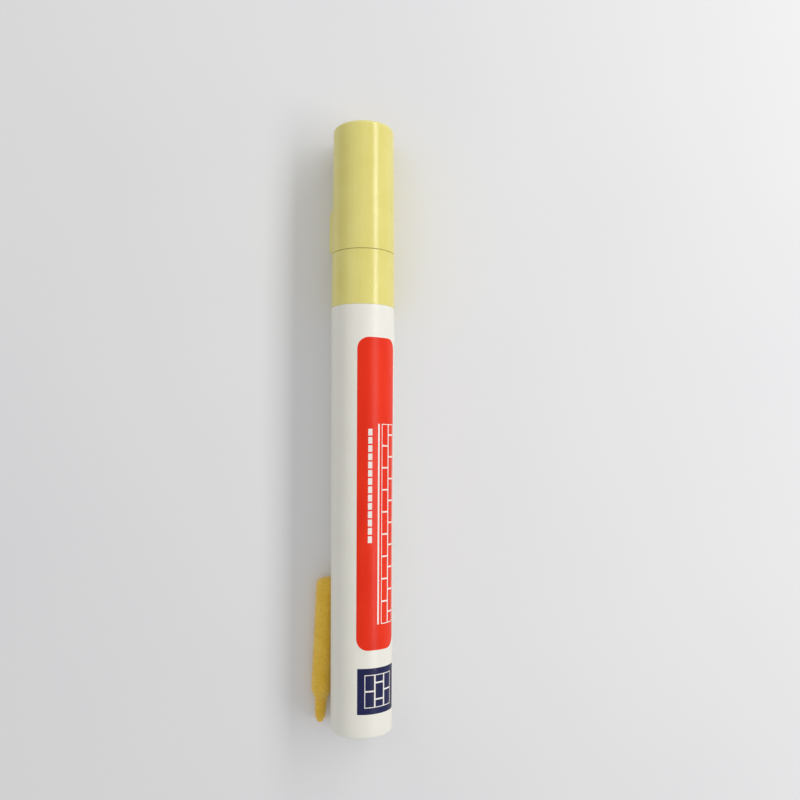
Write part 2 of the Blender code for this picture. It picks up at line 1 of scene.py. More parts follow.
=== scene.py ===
"""Looks of a grout marker: its moulded plastics, printed panels, felt nibs and valve.

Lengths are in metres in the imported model's frame: the marker lies along +Y with its cap in
front, +Z is up, and the origin is the centre of the barrel's flat base. A station is a
distance along +Y, and an angle round the marker is counted from straight up towards +X.
"""
import logging
import math
import random
from dataclasses import dataclass
from enum import Enum
from functools import cache
from typing import Any, NamedTuple, Sequence

import bmesh
import bpy
from bmesh.types import BMesh, BMFace, BMVert
from bpy.types import Node, NodeSocket
from mathutils import Color, Matrix, Vector, noise


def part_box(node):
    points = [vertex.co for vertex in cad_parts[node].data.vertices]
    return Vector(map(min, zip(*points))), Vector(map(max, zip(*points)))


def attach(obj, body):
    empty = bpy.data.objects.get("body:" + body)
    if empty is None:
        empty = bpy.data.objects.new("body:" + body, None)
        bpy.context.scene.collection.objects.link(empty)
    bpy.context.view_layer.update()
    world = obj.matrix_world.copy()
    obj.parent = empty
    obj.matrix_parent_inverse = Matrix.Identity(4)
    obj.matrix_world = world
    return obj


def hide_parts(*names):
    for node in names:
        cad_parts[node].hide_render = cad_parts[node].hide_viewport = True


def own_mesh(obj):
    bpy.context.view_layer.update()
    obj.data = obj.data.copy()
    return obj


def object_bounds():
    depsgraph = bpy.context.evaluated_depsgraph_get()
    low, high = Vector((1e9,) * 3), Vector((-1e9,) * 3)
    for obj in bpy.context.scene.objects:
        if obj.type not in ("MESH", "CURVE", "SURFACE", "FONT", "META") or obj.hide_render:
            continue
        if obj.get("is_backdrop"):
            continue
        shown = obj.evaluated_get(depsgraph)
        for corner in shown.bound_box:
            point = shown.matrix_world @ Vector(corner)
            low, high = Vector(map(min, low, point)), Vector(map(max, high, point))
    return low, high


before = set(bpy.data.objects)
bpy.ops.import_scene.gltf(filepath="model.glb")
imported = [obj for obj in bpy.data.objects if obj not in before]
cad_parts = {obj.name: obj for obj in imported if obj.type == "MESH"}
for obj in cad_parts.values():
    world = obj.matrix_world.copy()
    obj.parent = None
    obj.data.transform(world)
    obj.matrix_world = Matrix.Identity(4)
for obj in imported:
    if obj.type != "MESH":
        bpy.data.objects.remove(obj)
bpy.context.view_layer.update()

LOG = logging.getLogger("grout_marker")
EDGE_ATTRIBUTE = "edge"

MM = 0.001
BODY_RADIUS = 7.45 * MM
TURN_SEGMENTS = 128
VALVE_SEGMENTS = 64
ARC_STEPS = 6
RING_SPACING = 1.5 * MM
MERGE_DISTANCE = 0.001 * MM
SHARP_ANGLE = math.radians(35.0)
# Face angles over which an edge goes from none to full edge colour: handling wear plus a painted highlight.
WORN_AND_HIGHLIGHT_EDGE_ANGLES = (math.radians(6.0), math.radians(16.0))
BACKDROP = 0.80

Colour = tuple[float, float, float, float]
Limits = tuple[float, float]
Triple = tuple[float, float, float]
Sockets = bpy.types.bpy_prop_collection


class Body(Enum):
    """The bodies that pieces ride on."""

    MARKER = "marker_body"
    CAP = "cap"
    NIB = "nib_and_valve"
    BALL = "ball"
    LOOSE_NIB = "loose_nib"


class Slot(Enum):
    """The record's material slots."""

    WHITE = "white_plastic"
    YELLOW = "yellow_plastic"
    LINER = "liner_plastic"
    VALVE = "valve_plastic"
    FELT = "nib_felt"
    RUBBER = "black_rubber"
    STEEL = "bright_steel"


class TilePart(Enum):
    """The part of a tile pattern that is printed."""

    LINES = "lines"
    FACES = "faces"


class ToolUse(Enum):
    """What is done with a tool: it is joined on or cut out."""

    JOIN = "UNION"
    CUT = "DIFFERENCE"


class Maths(Enum):
    """What a math node does with its two values."""

    ADD = "ADD"
    SUBTRACT = "SUBTRACT"
    MULTIPLY = "MULTIPLY"
    POWER = "POWER"
    LARGER = "MAXIMUM"


class Corner(NamedTuple):
    """A corner of an outline: its distance from the axis, its station and its rounding."""

    radius: float
    station: float
    rounding: float = 0.0


def srgb(red: int, green: int, blue: int) -> Colour:
    """Return an 8-bit sRGB colour in linear light, with an alpha of one."""
    shares = Color((red / 255, green / 255, blue / 255))
    return (*shares.from_srgb_to_scene_linear(), 1.0)


@cache
def span(node: str) -> Limits:
    """Return the stations where a CAD node starts and ends."""
    low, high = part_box(node)
    return low.y, high.y


def store_mesh(name: str, mesh: BMesh) -> bpy.types.Mesh:
    """Store a mesh under a name, and free it.

    Args:
        name: The name.
        mesh: The mesh.

    Returns:
        The stored mesh.
    """
    data = bpy.data.meshes.new(name)
    mesh.to_mesh(data)
    mesh.free()
    return data


def add_object(name: str, data: bpy.types.ID) -> bpy.types.Object:
    """Add an object to the scene.

    Args:
        name: The object's name.
        data: Its mesh, light or camera.

    Returns:
        The object.
    """
    item = bpy.data.objects.new(name, data)
    bpy.context.scene.collection.objects.link(item)
    return item


def round_corner(mesh: BMesh, vert: BMVert, rounding: float) -> None:
    """Replace a corner between two edges by an arc.

    Args:
        mesh: The outline's mesh.
        vert: The corner.
        rounding: The arc's radius.
    """
    before, after = (edge.other_vert(vert).co - vert.co for edge in vert.link_edges)
    setback = rounding / math.tan(before.angle(after) / 2)
    bmesh.ops.bevel(
        mesh, geom=[vert], affect="VERTICES", offset=setback, offset_type="OFFSET", segments=ARC_STEPS,
        profile=0.5, material=-1)


def draw_outline(corners: Sequence[Corner]) -> BMesh:
    """Draw an outline with rounded corners, radius along X and station along Y.

    An outline that starts on the axis also ends there; any other one is closed into a ring.

    Args:
        corners: The outline's corners in order.

    Returns:
        The outline's mesh, which has no faces.
    """
    mesh = bmesh.new()
    chain = [mesh.verts.new((corner.radius, corner.station, 0.0)) for corner in corners]
    for pair in zip(chain, chain[1:]):
        mesh.edges.new(pair)
    if corners[0].radius > 0.0:
        mesh.edges.new((chain[-1], chain[0]))
    for vert, corner in zip(chain, corners):
        if corner.rounding > 0.0:
            round_corner(mesh, vert, corner.rounding)
    return mesh


def turn(corners: Sequence[Corner], segments: int = TURN_SEGMENTS,
         spacing: float = RING_SPACING) -> BMesh:
    """Spin an outline about the marker's axis into a closed body.

    Args:
        corners: The outline's corners in order.
        segments: How many faces go round.
        spacing: The longest edge that is left along the outline.

    Returns:
        The body's mesh, with its faces pointing out.
    """
    mesh = draw_outline(corners)
    for edge in mesh.edges[:]:
        cuts = math.ceil(edge.calc_length() / spacing) - 1
        if cuts > 0:
            bmesh.ops.subdivide_edges(mesh, edges=[edge], cuts=cuts)
    bmesh.ops.spin(
        mesh, geom=mesh.verts[:] + mesh.edges[:], cent=(0.0, 0.0, 0.0), axis=(0.0, 1.0, 0.0),
        angle=math.tau, steps=segments, use_merge=True)
    bmesh.ops.remove_doubles(mesh, verts=mesh.verts, dist=MERGE_DISTANCE)
    bmesh.ops.recalc_face_normals(mesh, faces=mesh.faces)
    return mesh


def bead(radius: float, station: float, width: float, height: float) -> list[Corner]:
    """Return the corners of a low rounded ring on a wall, or of a groove if its height is negative.

    Args:
        radius: The wall's radius.
        station: Where the middle of the ring is.
        width: The ring's width along the wall.
        height: How far it stands out.

    Returns:
        The corners in the order of rising stations.
    """
    softening = width / 6
    return [
        Corner(radius, station - width / 2),
        Corner(radius + height, station - width / 4, softening),
        Corner(radius + height, station + width / 4, softening),
        Corner(radius, station + width / 2),
    ]


def thicken(mesh: BMesh, below: float, above: float) -> None:
    """Draw flat faces out along Z into a closed plate.

    Args:
        mesh: The faces' mesh, flat on X and Y.
        below: How far the plate goes down.
        above: How far the plate goes up.
    """
    drawn = bmesh.ops.extrude_face_region(mesh, geom=mesh.faces[:])
    upper = [item for item in drawn["geom"] if isinstance(item, BMVert)]
    bmesh.ops.translate(mesh, verts=mesh.verts, vec=(0.0, 0.0, -below))
    bmesh.ops.translate(mesh, verts=upper, vec=(0.0, 0.0, below + above))


def ring_of_rods(count: int, circle: float, radius: float, stations: Limits, segments: int) -> BMesh:
    """Return rods along the marker that are set evenly on a circle, as tools for holes.

    Args:
        count: How many rods there are.
        circle: The circle's radius.
        radius: The radius of a rod.
        stations: The stations where the rods start and end.
        segments: How many faces go round a rod.

    Returns:
        The rods' mesh.
    """
    start, end = stations
    mesh = bmesh.new()
    upright = Matrix.Rotation(-math.pi / 2, 4, "X")
    place = Matrix.Translation((circle, (start + end) / 2, 0.0))
    for index in range(count):
        spin = Matrix.Rotation(math.tau * index / count, 4, "Y")
        bmesh.ops.create_cone(
            mesh, cap_ends=True, segments=segments, radius1=radius, radius2=radius, depth=end - start,
            matrix=spin @ place @ upright)
    return mesh


def combine(mesh: BMesh, tool: BMesh, use: ToolUse) -> BMesh:
    """Join a tool to a mesh or cut it out.

    Args:
        mesh: The mesh that is worked on, which is freed.
        tool: The mesh that is joined or cut out, which is freed.
        use: Which of the two is done.

    Returns:
        The result's mesh.
    """
    pair = [add_object("combine", store_mesh("combine", part)) for part in (mesh, tool)]
    modifier = pair[0].modifiers.new("combine", "BOOLEAN")
    modifier.operation = use.value
    modifier.solver = "EXACT"
    modifier.object = pair[1]
    result = bmesh.new()
    result.from_object(pair[0], bpy.context.evaluated_depsgraph_get())
    for holder in pair:
        bpy.data.meshes.remove(holder.data)
    return result


def mark_edges(mesh: BMesh) -> None:
    """Store on each vertex how much of an edge it is, for finishes that wear along edges and carry a
    painted highlight there.

    Args:
        mesh: The mesh, which gets a layer of values from 0 to 1.
    """
    layer = mesh.verts.layers.float.new(EDGE_ATTRIBUTE)
    low, high = WORN_AND_HIGHLIGHT_EDGE_ANGLES
    for vert in mesh.verts:
        angles = [edge.calc_face_angle(0.0) for edge in vert.link_edges]
        share = (max(angles) - low) / (high - low)
        vert[layer] = min(max(share, 0.0), 1.0)


class NodeBoard:
    """A node tree with short calls that add nodes and join them."""

    def __init__(self, tree: bpy.types.NodeTree) -> None:
        """Keep the tree that nodes are added to."""
        self.tree = tree

    def feed(self, socket: NodeSocket, value: Any) -> None:
        """Join an output to a socket, or set the socket's own value.

        Args:
            socket: The socket.
            value: The output that feeds it, or its value.
        """
        if isinstance(value, NodeSocket):
            self.tree.links.new(value, socket)
        else:
            socket.default_value = value

    def add(self, kind: str, inputs: dict[str | int, Any] | None = None, **settings: Any) -> Node:
        """Add a node.

        Args:
            kind: Blender's name for the type of node.
            inputs: Values for its sockets, or the outputs that feed them, by name or index.
            settings: Values for its properties.

        Returns:
            The new node.
        """
        node = self.tree.nodes.new(kind)
        for name, value in settings.items():
            setattr(node, name, value)
        for name, value in (inputs or {}).items():
            self.feed(node.inputs[name], value)
        return node

    def noise(self, coordinates: NodeSocket, scale: float, detail: float) -> NodeSocket:
        """Return a value that wanders about one half, by so many bumps to a metre."""
        texture = self.add("ShaderNodeTexNoise", {"Vector": coordinates, "Scale": scale, "Detail": detail})
        return texture.outputs["Fac"]

    def stretch(self, coordinates: NodeSocket, along: float) -> NodeSocket:
        """Draw a pattern out along the marker.

        Args:
            coordinates: Where on the surface the pattern is read.
            along: How many times longer it gets, or shorter where this is below one.

        Returns:
            The coordinates to read it at instead.
        """
        factors = (1.0, 1.0 / along, 1.0)
        node = self.add("ShaderNodeVectorMath", {0: coordinates, 1: factors}, operation="MULTIPLY")
        return node.outputs["Vector"]

    def remap(self, value: NodeSocket, source: Limits, target: Limits = (0.0, 1.0)) -> NodeSocket:
        """Map a range of values to another and clamp it there.

        Args:
            value: The value to map.
            source: The range that it is mapped from.
            target: The range that it is mapped to.

        Returns:
            The mapped value.
        """
        node = self.add("ShaderNodeMapRange", {
            "Value": value, "From Min": source[0], "From Max": source[1],
            "To Min": target[0], "To Max": target[1]})
        return node.outputs["Result"]

    def calculate(self, operation: Maths, first: Any, second: Any) -> NodeSocket:
        """Return the sum, product or other outcome of two values."""
        node = self.add("ShaderNodeMath", {0: first, 1: second}, operation=operation.value)
        return node.outputs["Value"]

    def mix(self, share: Any, first: Any, second: Any) -> NodeSocket:
        """Return a colour between two colours, by the share of the second one."""
        inputs = {"Fac": share, "Color1": first, "Color2": second}
        return self.add("ShaderNodeMixRGB", inputs).outputs["Color"]


class EffectGroup:
    """A shader node group that several finishes share."""

    NAME = ""
    INPUTS: dict[str, str] = {}
    OUTPUTS = {"Colour": "NodeSocketColor", "Roughness": "NodeSocketFloat", "Height": "NodeSocketFloat"}

    @classmethod
    def tree(cls) -> bpy.types.NodeTree:
        """Make the group on its first use.

        Returns:
            The group's tree.
        """
        found = bpy.data.node_groups.get(cls.NAME)
        if found:
            return found
        tree = bpy.data.node_groups.new(cls.NAME, "ShaderNodeTree")
        for name, kind in cls.INPUTS.items():
            tree.interface.new_socket(name, in_out="INPUT", socket_type=kind)
        for name, kind in cls.OUTPUTS.items():
            tree.interface.new_socket(name, in_out="OUTPUT", socket_type=kind)
        board = NodeBoard(tree)
        entry = board.add("NodeGroupInput")
        made = cls.draw(board, entry.outputs)
        board.add("NodeGroupOutput", made)
        return tree

    @classmethod
    def draw(cls, board: NodeBoard, given: Sockets) -> dict[str, NodeSocket]:
        """Add the group's nodes and return what feeds each of its outputs."""
        raise NotImplementedError

    @classmethod
    def place(cls, board: NodeBoard, inputs: dict[str, Any]) -> Sockets:
        """Put the group into a material and return its outputs."""
        return board.add("ShaderNodeGroup", inputs, node_tree=cls.tree()).outputs


class MouldedSkin(EffectGroup):
    """Flow streaks, a fine moulded skin, hairline scuffs, and lighter edges that are partly handling wear
    and partly a painted highlight.
    """

    NAME = "moulded_skin"
    INPUTS = {
        "Coordinates": "NodeSocketVector", "Edge": "NodeSocketFloat", "Colour": "NodeSocketColor",
        "Streak": "NodeSocketColor", "Polish and Highlight": "NodeSocketColor", "Roughness": "NodeSocketFloat"}

    @classmethod
    def draw(cls, board: NodeBoard, given: Sockets) -> dict[str, NodeSocket]:
        """Add the nodes for streaks, scuffs and the lighter edges, which are partly wear and partly a
        painted highlight.

        Args:
            board: The group's board.
            given: The outputs of the group's input node.

        Returns:
            What feeds each of the group's outputs, by name.
        """
        place = given["Coordinates"]
        streaks = board.noise(board.stretch(place, along=22.0), scale=420.0, detail=3.0)
        clouds = board.noise(place, scale=150.0, detail=2.0)
        skin = board.noise(place, scale=3800.0, detail=2.0)
        hairlines = board.noise(board.stretch(place, along=40.0), scale=5200.0, detail=1.0)
        scuffs = board.remap(hairlines, (0.66, 0.80))
        drift = board.remap(board.calculate(Maths.ADD, streaks, clouds), (0.80, 1.20))
        edge = board.calculate(Maths.POWER, given["Edge"], 2.0)
        colour = board.mix(drift, given["Colour"], given["Streak"])
        # Paler colour along edges: partly handling wear, partly a painted highlight.
        colour = board.mix(board.calculate(Maths.MULTIPLY, edge, 0.6), colour, given["Polish and Highlight"])
        wander = board.remap(clouds, (0.3, 0.7), (-0.02, 0.02))
        roughness = board.calculate(Maths.ADD, given["Roughness"], wander)
        roughness = board.calculate(Maths.ADD, roughness, board.calculate(Maths.MULTIPLY, scuffs, 0.12))
        height = board.calculate(Maths.SUBTRACT, skin, board.calculate(Maths.MULTIPLY, scuffs, 0.6))
        return {"Colour": colour, "Roughness": roughness, "Height": height}


class PrintedInk(EffectGroup):
    """Ink that varies a little in depth, with pinholes where the ground shows."""

    NAME = "printed_ink"
    INPUTS = {
        "Coordinates": "NodeSocketVector", "Ink": "NodeSocketColor", "Deep": "NodeSocketColor",
        "Ground": "NodeSocketColor"}

    @classmethod
    def draw(cls, board: NodeBoard, given: Sockets) -> dict[str, NodeSocket]:
        """Add the nodes for ink depth and pinholes.

        Args:
            board: The group's board.
            given: The outputs of the group's input node.

        Returns:
            What feeds each of the group's outputs, by name.
        """
        place = given["Coordinates"]
        depth = board.noise(board.stretch(place, along=4.0), scale=260.0, detail=3.0)
        screen = board.noise(place, scale=2600.0, detail=2.0)
        pinholes = board.remap(board.noise(place, scale=1500.0, detail=1.0), (0.80, 0.84), (0.0, 0.6))
        colour = board.mix(board.remap(depth, (0.35, 0.65)), given["Ink"], given["Deep"])
        colour = board.mix(pinholes, colour, given["Ground"])
        roughness = board.remap(screen, (0.3, 0.7), (0.26, 0.40))
        return {"Colour": colour, "Roughness": roughness, "Height": screen}


class DrawnMetal(EffectGroup):
    """Fine lines and dull patches on bright steel."""

    NAME = "drawn_metal"
    INPUTS = {"Coordinates": "NodeSocketVector", "Bright": "NodeSocketColor", "Dull": "NodeSocketColor"}

    @classmethod
    def draw(cls, board: NodeBoard, given: Sockets) -> dict[str, NodeSocket]:
        """Add the nodes for lines and patches.

        Args:
            board: The group's board.
            given: The outputs of the group's input node.

        Returns:
            What feeds each of the group's outputs, by name.
        """
        place = given["Coordinates"]
        lines = board.noise(board.stretch(place, along=0.05), scale=700.0, detail=2.0)
        patches = board.noise(place, scale=420.0, detail=3.0)
        colour = board.mix(board.remap(patches, (0.35, 0.7)), given["Bright"], given["Dull"])
        roughness = board.remap(board.calculate(Maths.ADD, lines, patches), (0.7, 1.3), (0.12, 0.34))
        return {"Colour": colour, "Roughness": roughness, "Height": lines}


@dataclass(frozen=True)
class Finish:
    """A finish, which makes its material once and then hands out the same one."""

    name: str

    def material(self) -> bpy.types.Material:
        """Make the finish's material on its first use.

        Returns:
            The material.
        """
        found = bpy.data.materials.get(self.name)
        if found:
            return found
        material = bpy.data.materials.new(self.name)
        material.use_nodes = True
        self.paint(NodeBoard(material.node_tree), material.node_tree.nodes["Principled BSDF"])
        return material

    def paint(self, board: NodeBoard, shader: Node) -> None:
        """Join the finish's nodes to the shader."""
        raise NotImplementedError

    @staticmethod
    def coordinates(board: NodeBoard) -> NodeSocket:
        """Return the piece's own coordinates."""
        return board.add("ShaderNodeTexCoord").outputs["Object"]

    @staticmethod
    def join(board: NodeBoard, shader: Node,
             made: Sockets | dict[str, NodeSocket], relief: float) -> None:
        """Feed a colour, a roughness and a height to a shader.

        Args:
            board: The material's board.
            shader: The material's shader.
            made: What feeds it, by name, such as a group's outputs.
            relief: How deep the height is.
        """
        bump = board.add("ShaderNodeBump", {"Height": made["Height"], "Distance": relief})
        board.feed(shader.inputs["Base Color"], made["Colour"])
        board.feed(shader.inputs["Roughness"], made["Roughness"])
        board.feed(shader.inputs["Normal"], bump.outputs["Normal"])


@dataclass(frozen=True)
class MouldedPlastic(Finish):
    """A moulded plastic in two close shades, with lighter edges that are partly worn by handling and partly
    a painted highlight.
    """

    colour: Colour
    streak: Colour
    polish_and_highlight: Colour
    roughness: float
    coat: float = 0.0
    coat_roughness: float = 0.12
    relief: float = 0.006 * MM

    def paint(self, board: NodeBoard, shader: Node) -> None:
        """Join the moulded skin to the shader.

        Args:
            board: The material's board.
            shader: The material's shader.
        """
        edge = board.add("ShaderNodeAttribute", attribute_name=EDGE_ATTRIBUTE).outputs["Fac"]
        made = MouldedSkin.place(board, {
            "Coordinates": self.coordinates(board), "Edge": edge, "Colour": self.colour,
            "Streak": self.streak, "Polish and Highlight": self.polish_and_highlight, "Roughness": self.roughness})
        self.join(board, shader, made, self.relief)
        shader.inputs["Coat Weight"].default_value = self.coat
        shader.inputs["Coat Roughness"].default_value = self.coat_roughness


@dataclass(frozen=True)
class PrintFinish(Finish):
    """A printed ink on the barrel's white."""

    ink: Colour
    deep: Colour
    ground: Colour
    relief: float = 0.004 * MM
    shine: float = 0.2

    def paint(self, board: NodeBoard, shader: Node) -> None:
        """Join the ink to the shader.

        Args:
            board: The material's board.
            shader: The material's shader.
        """
        made = PrintedInk.place(board, {
            "Coordinates": self.coordinates(board), "Ink": self.ink, "Deep": self.deep,
            "Ground": self.ground})
        self.join(board, shader, made, self.relief)
        shader.inputs["Specular IOR Level"].default_value = self.shine


@dataclass(frozen=True)
class PressedFelt(Finish):
    """Pressed fibre felt: granular, matt and a little uneven in colour, with painted shade in its pores."""

    pale: Colour
    middle: Colour
    deep: Colour
    relief: float = 0.05 * MM
    sheen: float = 0.35
    sheen_roughness: float = 0.6
    shine: float = 0.2

    def paint(self, board: NodeBoard, shader: Node) -> None:
        """Join soft patches, grains with painted shade in the pores between them and fine hairs to the
        shader.

        Args:
            board: The material's board.
            shader: The material's shader.
        """
        place = self.coordinates(board)
        patches = board.noise(place, scale=320.0, detail=2.0)
        grains = board.noise(board.stretch(place, along=1.5), scale=3400.0, detail=3.0)
        hairs = board.noise(board.stretch(place, along=9.0), scale=9000.0, detail=2.0)
        colour = board.mix(board.remap(patches, (0.3, 0.7)), self.middle, self.pale)
        # Painted shade: the deep colour goes where the grains' bump dips into pores.
        colour = board.mix(board.remap(grains, (0.48, 0.72), (0.0, 0.6)), colour, self.deep)
        height = board.calculate(Maths.SUBTRACT, board.calculate(Maths.MULTIPLY, hairs, 0.5), grains)
        roughness = board.remap(grains, (0.3, 0.7), (0.85, 1.0))
        made = {"Colour": colour, "Roughness": roughness, "Height": height}
        self.join(board, shader, made, self.relief)
        shader.inputs["Sheen Weight"].default_value = self.sheen
        shader.inputs["Sheen Roughness"].default_value = self.sheen_roughness
        shader.inputs["Specular IOR Level"].default_value = self.shine


@dataclass(frozen=True)
class BrightSteel(Finish):
    """Bright steel, drawn or ground."""

    bright: Colour
    dull: Colour
    relief: float = 0.002 * MM

    def paint(self, board: NodeBoard, shader: Node) -> None:
        """Join the drawn metal to the shader.

        Args:
            board: The material's board.
            shader: The material's shader.
        """
        made = DrawnMetal.place(board, {
            "Coordinates": self.coordinates(board), "Bright": self.bright, "Dull": self.dull})
        self.join(board, shader, made, self.relief)
        shader.inputs["Metallic"].default_value = 1.0


@dataclass(frozen=True)
class SoftRubber(Finish):
    """Matt rubber with a bloom on it."""

    colour: Colour
    bloom: Colour
    relief: float = 0.01 * MM

    def paint(self, board: NodeBoard, shader: Node) -> None:
        """Join the rubber's bloom and grain to the shader.

        Args:
            board: The material's board.
            shader: The material's shader.
        """
        place = self.coordinates(board)
        bloom = board.noise(place, scale=900.0, detail=3.0)
        grain = board.noise(place, scale=6000.0, detail=2.0)
        colour = board.mix(board.remap(bloom, (0.4, 0.8)), self.colour, self.bloom)
        roughness = board.remap(grain, (0.3, 0.7), (0.65, 0.85))
        made = {"Colour": colour, "Roughness": roughness, "Height": grain}
        self.join(board, shader, made, self.relief)


@dataclass(frozen=True)
class PaleTable(Finish):
    """The pale, matt table top under the marker, which fades into the backdrop far away."""

    colour: Colour
    shade: Colour
    roughness: float = 0.85
    fade: Limits = (0.20, 0.60)

    def paint(self, board: NodeBoard, shader: Node) -> None:
        """Join a faint cloudiness to the shader, and blend it with the backdrop.

        Args:
            board: The material's board.
            shader: The material's shader.
        """
        place = self.coordinates(board)
        clouds = board.noise(place, scale=9.0, detail=2.0)
        colour = board.mix(board.remap(clouds, (0.3, 0.7)), self.colour, self.shade)
        board.feed(shader.inputs["Base Color"], colour)
        shader.inputs["Roughness"].default_value = self.roughness
        distance = board.add("ShaderNodeVectorMath", {0: place}, operation="LENGTH").outputs["Value"]
        seen = board.add("ShaderNodeLightPath").outputs["Is Camera Ray"]
        share = board.calculate(Maths.MULTIPLY, board.remap(distance, self.fade), seen)
        glow = board.add("ShaderNodeEmission", {"Strength": BACKDROP}).outputs["Emission"]
        blend = board.add("ShaderNodeMixShader", {0: share, 1: shader.outputs["BSDF"], 2: glow})
        board.feed(board.tree.nodes["Material Output"].inputs["Surface"], blend.outputs["Shader"])


# The third colour of each plastic is its edge colour, partly handling wear and partly a painted highlight.
BARREL_WHITE = MouldedPlastic(
    "barrel_white", srgb(233, 231, 221), srgb(230, 228, 217), srgb(242, 241, 235), roughness=0.36)
CAP_YELLOW = MouldedPlastic(
    "cap_yellow", srgb(225, 214, 122), srgb(220, 208, 113), srgb(235, 228, 150), roughness=0.24, coat=0.25)
LINER_WHITE = MouldedPlastic(
    "liner_white", srgb(236, 236, 230), srgb(228, 228, 220), srgb(242, 242, 238), roughness=0.5)
VALVE_NATURAL = MouldedPlastic(
    "valve_natural", srgb(222, 220, 208), srgb(212, 209, 194), srgb(232, 231, 222), roughness=0.44)
PANEL_RED = PrintFinish("panel_red", srgb(233, 49, 14), srgb(225, 40, 10), srgb(236, 150, 130))
SQUARE_NAVY = PrintFinish("square_navy", srgb(25, 29, 76), srgb(19, 22, 64), srgb(120, 120, 160))
LINE_WHITE = PrintFinish("line_white", srgb(240, 236, 230), srgb(234, 226, 218), srgb(240, 200, 190))
# The felt's deep colour is painted shade in its pores.
NIB_FELT = PressedFelt("nib_mustard_felt", srgb(240, 200, 74), srgb(234, 190, 54), srgb(208, 154, 32))
SPRING_STEEL = BrightSteel("spring_steel", srgb(200, 202, 204), srgb(164, 166, 168))
BALL_STEEL = BrightSteel("ball_steel", srgb(206, 208, 210), srgb(180, 182, 184))
GASKET_RUBBER = SoftRubber("gasket_rubber", srgb(30, 30, 32), srgb(56, 56, 58))
TABLE_GREY = PaleTable("table_grey", srgb(233, 233, 234), srgb(229, 229, 231))


def add_piece(name: str, mesh: BMesh, finish: Finish, body: Body,
              node: str | None = None) -> bpy.types.Object:
    """Turn a mesh into a piece that rides on a body, and free the mesh.

    Args:
        name: The piece's name.
        mesh: Its mesh, already in place.
        finish: Its finish.
        body: The body that it moves with.
        node: The CAD node that it replaces.

    Returns:
        The piece.
    """
    mark_edges(mesh)
    data = store_mesh(name, mesh)
    data.shade_smooth()
    data.set_sharp_from_angle(angle=SHARP_ANGLE)
    data.materials.append(finish.material())
    piece = add_object(name, data)
    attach(piece, body.value)
    if node:
        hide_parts(node)
    data.calc_loop_triangles()
    LOG.info("%s: %d triangles on %s", name, len(data.loop_triangles), body.value)
    return piece


@dataclass(frozen=True)
class Barrel:
    """The white barrel: a drafted tube that is closed and flat at its base."""

    base_radius: float = 7.05 * MM
    wall: float = 1.1 * MM
    base_thickness: float = 1.6 * MM
    base_round: float = 1.0 * MM
    mouth_round: float = 0.06 * MM
    gate_radius: float = 1.1 * MM
    gate_depth: float = 0.12 * MM
    groove_setback: float = 2.0 * MM
    groove_width: float = 1.5 * MM
    groove_depth: float = 0.2 * MM

    @property
    def length(self) -> float:
        """Return the barrel's length."""
        return span("barrel")[1]

    def radius(self, station: float) -> float:
        """Return the outer radius at a station."""
        return self.base_radius + (BODY_RADIUS - self.base_radius) * station / self.length

    def build(self) -> None:
        """Turn the barrel, with a moulding gate in its base and a snap groove in its mouth."""
        groove_station = self.length - self.groove_setback
        groove = bead(
            self.radius(groove_station) - self.wall, groove_station, self.groove_width, self.groove_depth)
        corners = [
            Corner(0.0, self.gate_depth),
            Corner(self.gate_radius, self.gate_depth, self.gate_depth / 2),
            Corner(self.gate_radius + self.gate_depth, 0.0, self.gate_depth / 2),
            Corner(self.base_radius, 0.0, self.base_round),
            Corner(BODY_RADIUS, self.length, self.mouth_round),
            Corner(BODY_RADIUS - self.wall, self.length),
            *reversed(groove),
            Corner(self.radius(self.base_thickness) - self.wall, self.base_thickness, self.base_round / 2),
            Corner(0.0, self.base_thickness),
        ]
        add_piece("barrel_tube", turn(corners), BARREL_WHITE, Body.MARKER, "barrel")


